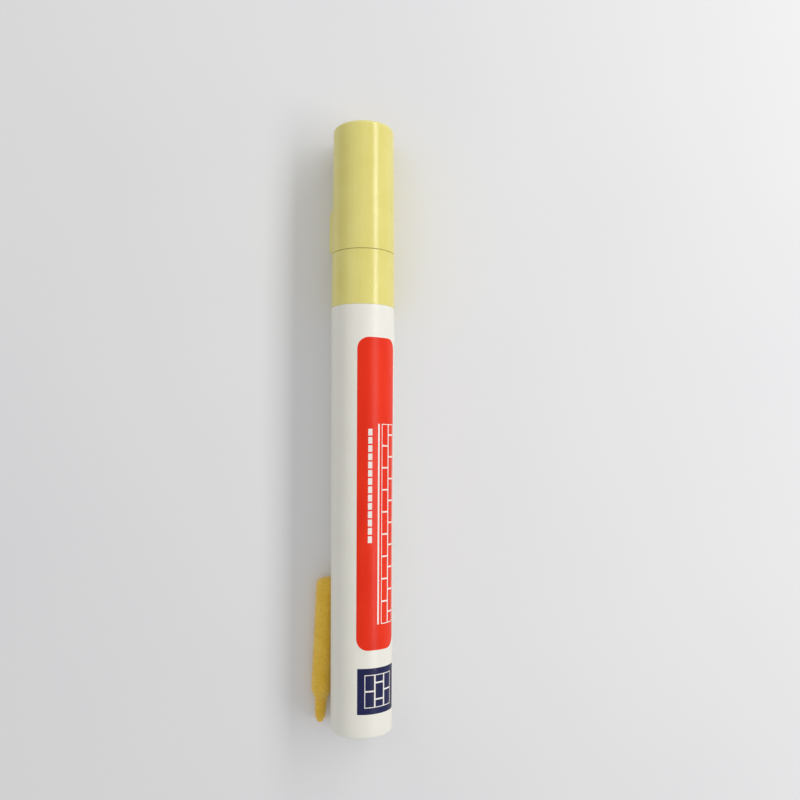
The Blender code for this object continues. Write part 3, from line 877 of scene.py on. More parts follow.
@dataclass(frozen=True)
class BarrelPrint:
    """What is printed on the barrel: a red panel and a navy square, both with tile lines."""

    barrel: Barrel
    panel_angles: Limits = (math.radians(-6.9), math.radians(76.0))
    panel_stations: Limits = (19.4 * MM, 89.85 * MM)
    panel_round: float = 2.7 * MM
    square_angles: Limits = (math.radians(-4.8), math.radians(79.5))
    square_stations: Limits = (5.5 * MM, 15.5 * MM)
    square_round: float = 0.15 * MM
    rule_angle: float = math.radians(33.5)
    rule_width: float = 0.42 * MM
    course_stations: Limits = (25.0 * MM, 70.0 * MM)
    course_offset: float = 2.9 * MM
    courses_width: float = 4.2 * MM
    tiles_per_course: int = 9
    row_stations: Limits = (43.0 * MM, 69.0 * MM)
    row_offset: float = -2.1 * MM
    row_width: float = 1.3 * MM
    tiles_per_row: int = 14
    patch_width: float = 7.2 * MM
    patch_courses: int = 3
    line_width: float = 0.34 * MM
    ink_height: float = 0.02 * MM
    line_height: float = 0.035 * MM
    ink_depth: float = 0.02 * MM
    slice_width: float = 0.35 * MM

    @staticmethod
    def plate(width: float, length: float, rounding: float = 0.0) -> BMesh:
        """Return a flat plate of one face, centred on the origin.

        Args:
            width: Its size round the barrel, along X.
            length: Its size along the barrel, along Y.
            rounding: The radius of its corners.

        Returns:
            The plate's mesh.
        """
        mesh = bmesh.new()
        bmesh.ops.create_grid(mesh, x_segments=1, y_segments=1, size=0.5)
        bmesh.ops.scale(mesh, vec=(width, length, 1.0), verts=mesh.verts)
        if rounding > 0.0:
            bmesh.ops.bevel(
                mesh, geom=mesh.verts[:], affect="VERTICES", offset=rounding, offset_type="OFFSET",
                segments=2 * ARC_STEPS, profile=0.5, material=-1)
        return mesh

    def tiling(self, width: float, length: float, courses: int, tiles: int, part: TilePart) -> BMesh:
        """Return a patch of tiles in running bond, flat and centred on the origin.

        Args:
            width: The patch's size round the barrel.
            length: The patch's size along the barrel.
            courses: How many courses of tiles lie side by side.
            tiles: How many tiles each course has.
            part: Whether the lines between the tiles or the tiles' faces are kept.

        Returns:
            The patch's mesh.
        """
        mesh = self.plate(width, length)
        for course in range(1, courses):
            self.slice(mesh, mesh.faces[:], width * (course / courses - 0.5), (1.0, 0.0, 0.0))
        for course in range(courses):
            left = width * (course / courses - 0.5)
            right = width * ((course + 1) / courses - 0.5)
            shift = 0.5 if course % 2 else 0.0
            for joint in range(tiles):
                place = length * ((joint + shift) / tiles - 0.5)
                in_course = [face for face in mesh.faces if left < face.calc_center_median().x < right]
                self.slice(mesh, in_course, place, (0.0, 1.0, 0.0))
        faces = mesh.faces[:]
        inset = bmesh.ops.inset_individual(
            mesh, faces=faces, thickness=self.line_width / 2, use_even_offset=True)
        unwanted = faces if part is TilePart.LINES else inset["faces"]
        bmesh.ops.delete(mesh, geom=unwanted, context="FACES")
        return mesh

    @staticmethod
    def slice(mesh: BMesh, faces: list[BMFace], place: float, direction: Triple) -> None:
        """Split faces along a plane.

        Args:
            mesh: The mesh that they belong to.
            faces: The faces to split.
            place: How far from the origin the plane is.
            direction: The plane's direction.
        """
        verts = {vert for face in faces for vert in face.verts}
        edges = {edge for face in faces for edge in face.edges}
        bmesh.ops.bisect_plane(
            mesh, geom=[*verts, *edges, *faces], dist=MERGE_DISTANCE, plane_co=Vector(direction) * place,
            plane_no=direction)

    def wrap(self, mesh: BMesh, angle: float, station: float, height: float) -> BMesh:
        """Give a flat plate a thickness and bend it on to the barrel.

        Args:
            mesh: The plate, with X round the barrel and Y along it.
            angle: The angle that its origin goes to.
            station: The station that its origin goes to.
            height: How far it stands out of the barrel.

        Returns:
            The same mesh.
        """
        half_width = max(vert.co.x for vert in mesh.verts)
        count = math.ceil(2 * half_width / self.slice_width)
        for index in range(1, count):
            self.slice(mesh, mesh.faces[:], half_width * (2 * index / count - 1), (1.0, 0.0, 0.0))
        thicken(mesh, self.ink_depth, height)
        for vert in mesh.verts:
            turned = angle + vert.co.x / self.barrel.radius(station)
            along = station + vert.co.y
            radius = self.barrel.radius(along) + vert.co.z
            vert.co = (radius * math.sin(turned), along, radius * math.cos(turned))
        bmesh.ops.recalc_face_normals(mesh, faces=mesh.faces)
        return mesh

    def label(self, name: str, finish: Finish, angles: Limits, stations: Limits,
              rounding: float) -> None:
        """Print a plain block of ink.

        Args:
            name: The block's name.
            finish: Its ink.
            angles: The angles where it starts and ends.
            stations: The stations where it starts and ends.
            rounding: The radius of its corners.
        """
        middle = sum(stations) / 2
        width = (angles[1] - angles[0]) * self.barrel.radius(middle)
        block = self.plate(width, stations[1] - stations[0], rounding)
        add_piece(name, self.wrap(block, sum(angles) / 2, middle, self.ink_height), finish, Body.MARKER)

    def marking(self, name: str, mesh: BMesh, angle: float, station: float,
                offset: float = 0.0) -> None:
        """Print a white marking from its flat mesh, offset round the barrel from an angle."""
        turned = angle + offset / self.barrel.radius(station)
        add_piece(name, self.wrap(mesh, turned, station, self.line_height), LINE_WHITE, Body.MARKER)

    def build(self) -> None:
        """Print the panel, the square and their markings."""
        self.label("red_panel", PANEL_RED, self.panel_angles, self.panel_stations, self.panel_round)
        self.label("navy_square", SQUARE_NAVY, self.square_angles, self.square_stations, self.square_round)

        low, high = self.course_stations
        rule = self.plate(self.rule_width, high - low)
        self.marking("panel_rule", rule, self.rule_angle, (low + high) / 2)
        courses = self.tiling(self.courses_width, high - low, 2, self.tiles_per_course, TilePart.LINES)
        self.marking("panel_tile_lines", courses, self.rule_angle, (low + high) / 2, self.course_offset)

        low, high = self.row_stations
        row = self.tiling(self.row_width, high - low, 1, self.tiles_per_row, TilePart.FACES)
        self.marking("panel_tile_row", row, self.rule_angle, (low + high) / 2, self.row_offset)

        patch = self.tiling(
            self.patch_width, self.patch_width, self.patch_courses, self.patch_courses - 1, TilePart.LINES)
        self.marking("square_tile_lines", patch, sum(self.square_angles) / 2, sum(self.square_stations) / 2)


@dataclass(frozen=True)
class FrontSection:
    """The yellow moulding that plugs the barrel: collar, neck, sealing land and nose."""

    plug_radius: float = 6.2 * MM
    plug_wall: float = 1.3 * MM
    plug_lead_in: float = 0.5 * MM
    plug_bead_setback: float = 2.0 * MM
    plug_bead_width: float = 1.2 * MM
    plug_bead_height: float = 0.2 * MM
    joint_gap: float = 0.02 * MM
    seam_setback: float = 0.21 * MM
    seam_round: float = 0.12 * MM
    collar_round: float = 0.3 * MM
    neck_radius: float = 6.0 * MM
    neck_length: float = 7.0 * MM
    neck_bead_setback: float = 3.5 * MM
    neck_bead_width: float = 1.0 * MM
    neck_bead_height: float = 0.15 * MM
    land_radius: float = 5.0 * MM
    land_length: float = 2.5 * MM
    nose_round: float = 3.0 * MM
    nose_lip_radius: float = 3.5 * MM
    nose_lip_round: float = 0.35 * MM
    bore_radius: float = 2.6 * MM
    seat_gap: float = 0.1 * MM
    channel_count: int = 6
    channel_radius: float = 0.8 * MM
    channel_circle: float = 3.0 * MM
    channel_segments: int = 24

    def build(self) -> None:
        """Turn the section and cut its paint channels."""
        rear, nose = span("front_section")
        shoulder = span("barrel")[1] + self.joint_gap
        collar_front = span("cap_shell")[0] - self.seam_setback
        neck_front = collar_front + self.neck_length
        land_front = neck_front + self.land_length
        ledge = span("valve_seat")[1] + self.seat_gap
        chamber_radius = self.plug_radius - self.plug_wall
        corners = [
            Corner(self.plug_radius - self.plug_lead_in, rear),
            Corner(self.plug_radius, rear + self.plug_lead_in),
            *bead(self.plug_radius, shoulder - self.plug_bead_setback, self.plug_bead_width,
                  self.plug_bead_height),
            Corner(self.plug_radius, shoulder),
            Corner(BODY_RADIUS, shoulder, self.joint_gap),
            Corner(BODY_RADIUS, collar_front, self.seam_round),
            Corner(self.neck_radius, collar_front, self.collar_round / 2),
            *bead(self.neck_radius, collar_front + self.neck_bead_setback, self.neck_bead_width,
                  self.neck_bead_height),
            Corner(self.neck_radius, neck_front, self.collar_round),
            Corner(self.land_radius, neck_front, self.collar_round / 2),
            Corner(self.land_radius, land_front, self.nose_round),
            Corner(self.nose_lip_radius, nose, self.nose_lip_round),
            Corner(self.bore_radius, nose, self.nose_lip_round / 2),
            Corner(self.bore_radius, ledge),
            Corner(chamber_radius, ledge),
            Corner(chamber_radius, rear),
        ]
        channels = ring_of_rods(
            self.channel_count, self.channel_circle, self.channel_radius,
            (ledge - self.collar_round, land_front), self.channel_segments)
        section = combine(turn(corners), channels, ToolUse.CUT)
        add_piece("collar_and_nose", section, CAP_YELLOW, Body.MARKER, "front_section")


@dataclass(frozen=True)
class Cap:
    """The push-on cap with its moulded clip, and the liner that seals on the nose."""

    top_radius: float = 7.25 * MM
    wall: float = 1.15 * MM
    top_thickness: float = 1.0 * MM
    top_round: float = 0.9 * MM
    mouth_lead: float = 0.09 * MM
    mouth_round: float = 0.12 * MM
    inner_round: float = 0.4 * MM
    gate_radius: float = 0.9 * MM
    gate_depth: float = 0.1 * MM
    clip_angle: float = math.radians(51.5)
    clip_width: float = 4.0 * MM
    clip_setback: float = 3.2 * MM
    clip_ramp: float = 1.2 * MM
    clip_rib_length: float = 14.1 * MM
    clip_rib_reach: float = 0.75 * MM
    clip_step_length: float = 2.4 * MM
    clip_step_round: float = 2.0 * MM
    clip_slot_length: float = 10.2 * MM
    clip_slot_gap: float = 0.4 * MM
    clip_end_gap: float = 0.8 * MM
    clip_end_thickness: float = 1.1 * MM
    clip_end_setback: float = 1.6 * MM
    clip_end_round: float = 0.4 * MM
    clip_nub_length: float = 2.4 * MM
    clip_nub_height: float = 0.3 * MM
    clip_embed: float = 0.6 * MM
    clip_edge: float = 0.2 * MM
    clip_edge_steps: int = 4
    liner_radius: float = 6.0 * MM
    liner_wall: float = 0.6 * MM
    liner_top_thickness: float = 0.8 * MM
    liner_lip_length: float = 2.0 * MM
    liner_lip_height: float = 0.25 * MM

    def radius(self, station: float) -> float:
        """Return the shell's outer radius at a station."""
        mouth, top = span("cap_shell")
        return BODY_RADIUS + (self.top_radius - BODY_RADIUS) * (station - mouth) / (top - mouth)

    def clip(self) -> BMesh:
        """Draw the clip: a low rib that steps out into a free tongue, with softened edges.

        Returns:
            The clip's mesh, turned to its side of the cap.
        """
        mouth, top = span("cap_shell")
        root = top - self.clip_setback
        rib_end = root - self.clip_rib_length
        tongue = rib_end - self.clip_step_length
        end = mouth + self.clip_end_setback
        slot = end + self.clip_slot_length
        nub = end + self.clip_nub_length / 2
        reach = self.clip_end_gap + self.clip_end_thickness
        corners = [
            Corner(self.radius(root) - self.clip_embed, root),
            Corner(self.radius(root), root),
            Corner(self.radius(root) + self.clip_rib_reach, root - self.clip_ramp, self.clip_ramp),
            Corner(self.radius(rib_end) + self.clip_rib_reach, rib_end, self.clip_step_round),
            Corner(self.radius(tongue) + reach, tongue, self.clip_step_round),
            Corner(self.radius(end) + reach, end, self.clip_end_round),
            Corner(self.radius(end) + self.clip_end_gap, end, self.clip_end_round / 2),
            Corner(self.radius(nub) + self.clip_end_gap - self.clip_nub_height, nub, self.clip_nub_length),
            Corner(self.radius(end) + self.clip_end_gap, end + self.clip_nub_length),
            Corner(self.radius(slot) + self.clip_slot_gap, slot, self.clip_slot_gap / 2),
            Corner(self.radius(slot) - self.clip_embed, slot),
        ]
        mesh = draw_outline(corners)
        bmesh.ops.contextual_create(mesh, geom=mesh.edges[:])
        thicken(mesh, self.clip_width / 2, self.clip_width / 2)
        bmesh.ops.recalc_face_normals(mesh, faces=mesh.faces)
        mesh.normal_update()
        soft_edges = [
            edge for edge in mesh.edges
            if abs(edge.verts[0].co.z - edge.verts[1].co.z) < MERGE_DISTANCE
            and min(vert.co.x - self.radius(vert.co.y) for vert in edge.verts) > self.clip_slot_gap
            and any(face.normal.x > 0.5 or face.normal.y < -0.5 for face in edge.link_faces)]
        bmesh.ops.bevel(
            mesh, geom=soft_edges, affect="EDGES", offset=self.clip_edge, offset_type="OFFSET",
            segments=self.clip_edge_steps, profile=0.5, material=-1)
        turned = Matrix.Rotation(math.pi / 2 + self.clip_angle, 3, "Y")
        bmesh.ops.rotate(mesh, cent=(0.0, 0.0, 0.0), matrix=turned, verts=mesh.verts)
        return mesh

    def build_shell(self) -> None:
        """Turn the shell and join its clip."""
        mouth, top = span("cap_shell")
        mouth -= self.mouth_lead
        inner_top = top - self.top_thickness
        corners = [
            Corner(0.0, top - self.gate_depth),
            Corner(self.gate_radius, top - self.gate_depth, self.gate_depth / 2),
            Corner(self.gate_radius + self.gate_depth, top, self.gate_depth / 2),
            Corner(self.top_radius, top, self.top_round),
            Corner(BODY_RADIUS, mouth, self.mouth_round),
            Corner(BODY_RADIUS - self.wall, mouth, self.inner_round),
            Corner(self.top_radius - self.wall, inner_top, self.inner_round),
            Corner(0.0, inner_top),
        ]
        shell = combine(turn(corners), self.clip(), ToolUse.JOIN)
        add_piece("cap_and_clip", shell, CAP_YELLOW, Body.CAP, "cap_shell")

    def build_liner(self) -> None:
        """Turn the liner, whose thicker lip closes on the land behind the nose."""
        mouth, top = span("cap_liner")
        bore = self.liner_radius - self.liner_wall
        lip_end = mouth + self.liner_lip_length
        bore_end = top - self.liner_top_thickness
        corners = [
            Corner(0.0, top),
            Corner(self.liner_radius, top, 2 * self.inner_round),
            Corner(self.liner_radius, mouth, self.liner_lip_height / 2),
            Corner(bore - self.liner_lip_height, mouth, self.liner_lip_height / 2),
            Corner(bore - self.liner_lip_height, lip_end, self.liner_lip_height / 2),
            Corner(bore, lip_end + self.liner_lip_height, self.liner_lip_height / 2),
            Corner(bore, bore_end, self.inner_round),
            Corner(0.0, bore_end),
        ]
        add_piece("inner_cap", turn(corners), LINER_WHITE, Body.CAP, "cap_liner")

    def build(self) -> None:
        """Build the shell and the liner."""
        self.build_shell()
        self.build_liner()


@dataclass(frozen=True)
class FibrePatch:
    """Loose fibres: how many, along which stretch, between which angles, and their seed."""

    count: int
    reach: Limits
    arc: Limits
    seed: int


@dataclass(frozen=True)
class FeltNib:
    """A felt nib with a slanted end, a tapered bullet tip and loose fibres on its surface."""

    length: float = 34.1 * MM
    radius: float = 2.4 * MM
    end_round: float = 1.8 * MM
    end_slant: float = math.radians(8.0)
    slant_length: float = 3.0 * MM
    shoulder_length: float = 2.2 * MM
    shoulder_round: float = 1.2 * MM
    tip_base_radius: float = 1.4 * MM
    tip_end_radius: float = 1.22 * MM
    tip_length: float = 5.3 * MM
    point_radius: float = 0.55 * MM
    point_length: float = 1.45 * MM
    point_bend: float = 2.0 * MM
    point_round: float = 0.45 * MM
    ring_spacing: float = 0.2 * MM
    segments: int = 96
    lump_size: float = 2.2 * MM
    lump_height: float = 0.025 * MM
    nap_size: float = 0.35 * MM
    nap_height: float = 0.03 * MM
    fibre_radius: float = 0.016 * MM
    fibre_length: float = 0.55 * MM
    fibre_sweep: float = math.radians(70.0)
    fibre_steps: int = 4
    fibre_sides: int = 3
    fibre_taper: float = 0.7
    fibre_lean: Limits = (math.radians(-75.0), math.radians(75.0))
    fibre_lift: Limits = (math.radians(-4.0), math.radians(16.0))
    fibre_scale: Limits = (0.5, 1.3)

    def narrowing(self) -> list[Corner]:
        """Set out the nib's side from its shoulder to the end of its point.

        Returns:
            The side's corners in order.
        """
        tip_start = self.length - self.tip_length
        return [
            Corner(self.radius, tip_start - self.shoulder_length, self.shoulder_round),
            Corner(self.tip_base_radius, tip_start, self.shoulder_round),
            Corner(self.tip_end_radius, self.length - self.point_length, self.point_bend),
            Corner(self.point_radius, self.length, self.point_round),
        ]

    def surface_radius(self, station: float) -> float:
        """Work out how thick the nib is, without the rounding of its side.

        Args:
            station: The distance from the nib's slanted end.

        Returns:
            The nib's radius there.
        """
        if station < self.end_round:
            inset = self.end_round - station
            return self.radius - self.end_round + math.sqrt(self.end_round ** 2 - inset ** 2)
        corners = self.narrowing()
        before, after = next(pair for pair in zip(corners, corners[1:]) if station <= pair[1].station)
        share = max(0.0, (station - before.station) / (after.station - before.station))
        return before.radius + (after.radius - before.radius) * share

    def body(self) -> BMesh:
        """Turn the felt body, slant its end and make its surface lumpy.

        Returns:
            The body's mesh, along +Y from its slanted end at the origin.
        """
        blunt_end = [Corner(0.0, 0.0), Corner(self.radius, 0.0, self.end_round)]
        corners = [*blunt_end, *self.narrowing(), Corner(0.0, self.length)]
        mesh = turn(corners, self.segments, self.ring_spacing)
        mesh.normal_update()
        for vert in mesh.verts:
            lumps = noise.noise(vert.co / self.lump_size) * self.lump_height
            nap = noise.noise(vert.co / self.nap_size) * self.nap_height
            fading = max(0.0, 1.0 - vert.co.y / self.slant_length)
            slant = (self.radius - vert.co.x) * math.tan(self.end_slant) * fading
            vert.co += vert.normal * (lumps + nap)
            vert.co.y += slant
        return mesh

    def fibre(self) -> bpy.types.Mesh:
        """Spin one curved, tapered fibre.

        Returns:
            The fibre's mesh, which starts at the origin along +Z.
        """
        bend = self.fibre_length / self.fibre_sweep
        mesh = bmesh.new()
        bmesh.ops.create_circle(mesh, cap_ends=True, segments=self.fibre_sides, radius=self.fibre_radius)
        bmesh.ops.spin(
            mesh, geom=mesh.verts[:] + mesh.edges[:] + mesh.faces[:], cent=(bend, 0.0, 0.0),
            axis=(0.0, 1.0, 0.0), angle=self.fibre_sweep, steps=self.fibre_steps)
        for vert in mesh.verts:
            sweep = math.atan2(vert.co.z, bend - vert.co.x)
            middle = Vector((bend - bend * math.cos(sweep), 0.0, bend * math.sin(sweep)))
            vert.co = middle + (vert.co - middle) * (1.0 - self.fibre_taper * sweep / self.fibre_sweep)
        bmesh.ops.recalc_face_normals(mesh, faces=mesh.faces)
        return store_mesh("fibre", mesh)

    def fibres(self, patch: FibrePatch) -> BMesh:
        """Lay loose fibres on the nib's surface.

        Args:
            patch: The fibres' number and place, from the slanted end.

        Returns:
            The fibres' mesh.
        """
        draw = random.Random(patch.seed)
        pattern = self.fibre()
        mesh = bmesh.new()
        for _ in range(patch.count):
            station = draw.uniform(*patch.reach)
            around = Matrix.Rotation(draw.uniform(*patch.arc), 4, "Y")
            root = Matrix.Translation((self.surface_radius(station) - self.lump_height, station, 0.0))
            lean = Matrix.Rotation(draw.uniform(*self.fibre_lean), 4, "X")
            lift = Matrix.Rotation(draw.uniform(*self.fibre_lift), 4, "Z")
            curl = Matrix.Rotation(draw.uniform(0.0, math.tau), 4, "Z")
            size = Matrix.Scale(draw.uniform(*self.fibre_scale), 4)
            along = Matrix.Rotation(draw.choice((-1.0, 1.0)) * math.pi / 2, 4, "X")
            copy = pattern.copy()
            copy.transform(around @ root @ lift @ lean @ along @ curl @ size)
            mesh.from_mesh(copy)
            bpy.data.meshes.remove(copy)
        bpy.data.meshes.remove(pattern)
        return mesh

    def build(self, name: str, node: str, body: Body, place: Matrix, patch: FibrePatch) -> None:
        """Build one nib and its fibres where a CAD node lies.

        Args:
            name: The nib's name.
            node: The CAD node that it replaces.
            body: The body that it moves with.
            place: Where the nib's slanted end and axis go.
            patch: The loose fibres on it.
        """
        felt = self.body()
        felt.transform(place)
        add_piece(name, felt, NIB_FELT, body, node)
        fibres = self.fibres(patch)
        fibres.transform(place)
        add_piece(f"{name}_fibres", fibres, NIB_FELT, body)


@dataclass(frozen=True)
class Nibs:
    """The nib in the marker's nose, and the spare nib that lies beside the barrel."""

    barrel: Barrel
    felt: FeltNib = FeltNib()
    exposed_length: float = 8.0 * MM
    spare_setback: float = 0.18 * MM
    spare_gap: float = 0.42 * MM
    spare_yaw: float = math.radians(2.3)
    fibre_margin: float = 0.8 * MM
    nose_fibres: int = 500
    nose_seed: int = 5
    spare_fibres: int = 2600
    spare_seed: int = 11
    spare_arc: Limits = (math.radians(-35.0), math.radians(215.0))

    def spare_place(self) -> Matrix:
        """Set the spare nib on the table by the barrel, with its tip towards the base.

        Returns:
            Where the nib's slanted end and axis go.
        """
        inner_end = self.spare_setback + self.felt.length * math.cos(self.spare_yaw)
        height = self.felt.radius - BODY_RADIUS
        apart = self.barrel.radius(inner_end) + self.felt.radius + self.spare_gap
        where = Matrix.Translation((-math.sqrt(apart ** 2 - height ** 2), inner_end, height))
        return where @ Matrix.Rotation(math.pi - self.spare_yaw, 4, "Z") @ Matrix.Rotation(math.pi, 4, "Y")

    def build(self) -> None:
        """Build both nibs."""
        tip_end = self.felt.length - self.fibre_margin
        exposed = (self.felt.length - self.exposed_length + self.fibre_margin, tip_end)
        in_nose = Matrix.Translation((0.0, span("nib")[0], 0.0))
        nose_patch = FibrePatch(self.nose_fibres, exposed, (0.0, math.tau), self.nose_seed)
        self.felt.build("felt_nib", "nib", Body.NIB, in_nose, nose_patch)
        whole = (self.fibre_margin, tip_end)
        spare_patch = FibrePatch(self.spare_fibres, whole, self.spare_arc, self.spare_seed)
        self.felt.build("felt_spare_nib", "spare_nib", Body.LOOSE_NIB, self.spare_place(), spare_patch)


@dataclass(frozen=True)
class Valve:
    """The valve behind the nib: seat, gasket, stem, spring and cage."""

    cage_radius: float = 4.8 * MM
    cage_wall: float = 0.6 * MM
    cage_floor: float = 1.2 * MM
    cage_guide_radius: float = 1.25 * MM
    window_count: int = 4
    window_segments: int = 32
    window_margin: float = 0.15 * MM
    seat_hole_radius: float = 1.7 * MM
    seat_lip_width: float = 0.5 * MM
    seat_lip_height: float = 0.4 * MM
    gasket_hole_radius: float = 1.3 * MM
    gasket_radius: float = 2.5 * MM
    pusher_radius: float = 1.2 * MM
    head_radius: float = 2.6 * MM
    head_length: float = 1.4 * MM
    tail_radius: float = 0.95 * MM
    edge_round: float = 0.25 * MM
    seat_gap: float = 0.1 * MM
    coil_radius: float = 1.75 * MM
    wire_radius: float = 0.225 * MM
    wire_segments: int = 12
    coil_turns: int = 6
    coil_steps: int = 40

    def build_seat(self) -> None:
        """Turn the ring whose rear lip the gasket closes against."""
        lip, front = span("valve_seat")
        rear = lip + self.seat_lip_height
        corners = [
            Corner(self.seat_hole_radius, front, self.edge_round),
            Corner(self.seat_hole_radius, lip),
            Corner(self.seat_hole_radius + self.seat_lip_width / 2, lip, self.edge_round / 4),
            Corner(self.seat_hole_radius + self.seat_lip_width, rear),
            Corner(self.cage_radius, rear, self.edge_round / 2),
            Corner(self.cage_radius, front, self.edge_round / 2),
        ]
        seat = turn(corners, VALVE_SEGMENTS)
        add_piece("seat_ring", seat, VALVE_NATURAL, Body.MARKER, "valve_seat")

    def build_gasket(self) -> None:
        """Turn the rubber washer on the stem."""
        rear, front = span("valve_gasket")
        corners = [
            Corner(self.gasket_hole_radius, rear),
            Corner(self.gasket_radius, rear, self.edge_round),
            Corner(self.gasket_radius, front, self.edge_round),
            Corner(self.gasket_hole_radius, front),
        ]
        gasket = turn(corners, VALVE_SEGMENTS)
        add_piece("sealing_washer", gasket, GASKET_RUBBER, Body.NIB, "valve_gasket")

    def build_stem(self) -> None:
        """Turn the plunger, whose head carries the gasket and whose tail guides the spring."""
        tail, front = span("valve_stem")
        head_front = span("valve_gasket")[0] - self.seat_gap
        head_rear = head_front - self.head_length
        corners = [
            Corner(0.0, tail),
            Corner(self.tail_radius, tail, self.tail_radius / 2),
            Corner(self.tail_radius, head_rear, self.edge_round / 2),
            Corner(self.head_radius, head_rear, self.edge_round),
            Corner(self.head_radius, head_front, self.edge_round),
            Corner(self.pusher_radius, head_front),
            Corner(self.pusher_radius, front, self.edge_round),
            Corner(0.0, front),
        ]
        stem = turn(corners, VALVE_SEGMENTS)
        add_piece("plunger", stem, VALVE_NATURAL, Body.NIB, "valve_stem")

    def build_cage(self) -> None:
        """Turn the spring's cup and cut paint windows in its floor."""
        rear, front = span("valve_cage")
        floor = rear + self.cage_floor
        inner_radius = self.cage_radius - self.cage_wall
        corners = [
            Corner(self.cage_radius, front, self.edge_round / 2),
            Corner(inner_radius, front, self.edge_round / 2),
            Corner(inner_radius, floor, self.edge_round),
            Corner(self.cage_guide_radius, floor, self.edge_round / 2),
            Corner(self.cage_guide_radius, rear, self.edge_round / 2),
            Corner(self.cage_radius, rear, self.edge_round),
        ]
        coil_outer = self.coil_radius + self.wire_radius
        window_radius = (inner_radius - coil_outer) / 2 - self.window_margin
        windows = ring_of_rods(
            self.window_count, (inner_radius + coil_outer) / 2, window_radius,
            (rear - self.cage_floor / 2, floor + self.cage_floor / 2), self.window_segments)
        cage = combine(turn(corners, VALVE_SEGMENTS), windows, ToolUse.CUT)
        add_piece("spring_cage", cage, VALVE_NATURAL, Body.MARKER, "valve_cage")

    def build_spring(self) -> None:
        """Wind the spring at its rest length, on a mesh of its own; the real spring shortens as the nib is
        pressed in.
        """
        rear, front = span("valve_spring")
        rise = front - rear - 2 * self.wire_radius
        steps = self.coil_turns * self.coil_steps
        mesh = bmesh.new()
        place = Matrix.Translation((self.coil_radius, rear + self.wire_radius, 0.0))
        bmesh.ops.create_circle(
            mesh, cap_ends=True, segments=self.wire_segments, radius=self.wire_radius, matrix=place)
        bmesh.ops.spin(
            mesh, geom=mesh.verts[:] + mesh.edges[:] + mesh.faces[:], cent=(0.0, 0.0, 0.0),
            axis=(0.0, 1.0, 0.0), dvec=(0.0, rise / steps, 0.0), angle=math.tau * self.coil_turns,
            steps=steps)
        bmesh.ops.recalc_face_normals(mesh, faces=mesh.faces)
        spring = add_piece("coil_spring", mesh, SPRING_STEEL, Body.MARKER, "valve_spring")
        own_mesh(spring)

    def build(self) -> None:
        """Build the valve's pieces from the front to the rear."""
        self.build_seat()
        self.build_gasket()
        self.build_stem()
        self.build_spring()
        self.build_cage()


@dataclass(frozen=True)
class MixingBall:
    """The steel ball that stirs the paint when the marker is shaken."""

    radius: float = 3.5 * MM
    subdivisions: int = 5
    wear_size: float = 0.9 * MM
    wear_depth: float = 0.004 * MM

    def build(self) -> None:
        """Build the ball where its CAD node lies, with the faint unevenness of a ground one."""
        low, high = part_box("mixing_ball")
        mesh = bmesh.new()
        bmesh.ops.create_icosphere(mesh, subdivisions=self.subdivisions, radius=self.radius)
        for vert in mesh.verts:
            vert.co -= vert.co.normalized() * self.wear_depth * noise.noise(vert.co / self.wear_size)
        bmesh.ops.translate(mesh, verts=mesh.verts, vec=(low + high) / 2)
        add_piece("steel_ball", mesh, BALL_STEEL, Body.BALL, "mixing_ball")


@dataclass(frozen=True)
class SoftBox:
    """A soft rectangular light."""

    name: str
    centre: Triple
    aim: Triple
    width: float
    length: float
    power: float

    def build(self) -> None:
        """Add the light, with its length along the marker."""
        data = bpy.data.lights.new(self.name, "AREA")
        data.shape = "RECTANGLE"
        data.size = self.length
        data.size_y = self.width
        data.energy = self.power
        light = add_object(self.name, data)
        light.location = self.centre
        away = Vector(self.centre) - Vector(self.aim)
        light.rotation_euler = away.to_track_quat("Z", "Y").to_euler()


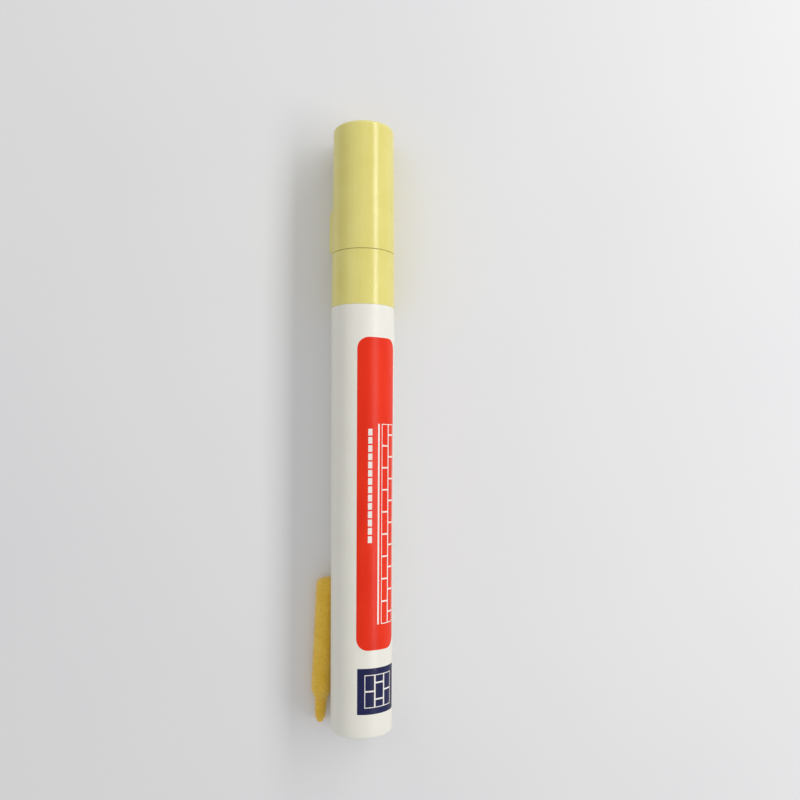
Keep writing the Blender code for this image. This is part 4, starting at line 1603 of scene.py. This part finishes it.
@dataclass(frozen=True)
class Studio:
    """The table, the lights and the camera."""

    table_size: float = 6.0
    table_cells: int = 8
    sky_strength: float = 0.55
    camera_place: Triple = (9.53 * MM, 62.66 * MM, 188.42 * MM)
    camera_turn: Triple = (4.012, 0.210, 0.049)
    camera_lens: float = 36.0
    camera_near: float = 10.0 * MM
    boxes: tuple[SoftBox, ...] = (
        SoftBox("strip", (0.34, 0.36, 0.29), (0.0, 0.36, 0.0), 0.11, 1.00, 1.82),
        SoftBox("fill", (-0.30, 0.25, 0.40), (0.0, 0.10, 0.0), 0.30, 0.40, 0.18),
    )

    def build_table(self) -> None:
        """Lay the table under the marker's lowest point."""
        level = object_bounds()[0].z
        mesh = bmesh.new()
        place = Matrix.Translation((0.0, 0.0, level))
        bmesh.ops.create_grid(
            mesh, x_segments=self.table_cells, y_segments=self.table_cells, size=self.table_size / 2,
            matrix=place)
        data = store_mesh("table", mesh)
        data.materials.append(TABLE_GREY.material())
        table = add_object("table", data)
        table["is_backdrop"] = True

    def build_sky(self) -> None:
        """Light the scene evenly, with a pale backdrop where a ray sees the sky itself."""
        world = bpy.data.worlds.new("soft_sky")
        world.use_nodes = True
        bpy.context.scene.world = world
        board = NodeBoard(world.node_tree)
        background = world.node_tree.nodes["Background"]
        path = board.add("ShaderNodeLightPath").outputs
        seen = board.calculate(Maths.LARGER, path["Is Camera Ray"], path["Is Transmission Ray"])
        seen = board.calculate(Maths.LARGER, seen, path["Is Glossy Ray"])
        strength = board.remap(seen, (0.0, 1.0), (self.sky_strength, BACKDROP))
        board.feed(background.inputs["Strength"], strength)
        background.inputs["Color"].default_value = (1.0, 1.0, 1.0, 1.0)

    def build_camera(self) -> None:
        """Set the camera at the photograph's viewing angle."""
        data = bpy.data.cameras.new("camera")
        data.lens = self.camera_lens
        data.clip_start = self.camera_near
        camera = add_object("camera", data)
        camera.location = self.camera_place
        camera.rotation_euler = [math.radians(angle) for angle in self.camera_turn]
        bpy.context.scene.camera = camera
        bpy.context.scene.view_settings.view_transform = "Standard"

    def build(self) -> None:
        """Build the table, the lights and the camera."""
        self.build_table()
        self.build_sky()
        self.build_camera()
        for box in self.boxes:
            box.build()


def main() -> None:
    """Build the marker's pieces in order, then the studio round them."""
    logging.basicConfig(level=logging.INFO, format="%(name)s: %(message)s")
    barrel = Barrel()
    barrel.build()
    BarrelPrint(barrel).build()
    FrontSection().build()
    Cap().build()
    Nibs(barrel).build()
    Valve().build()
    MixingBall().build()
    Studio().build()


if __name__ == "__main__":
    main()
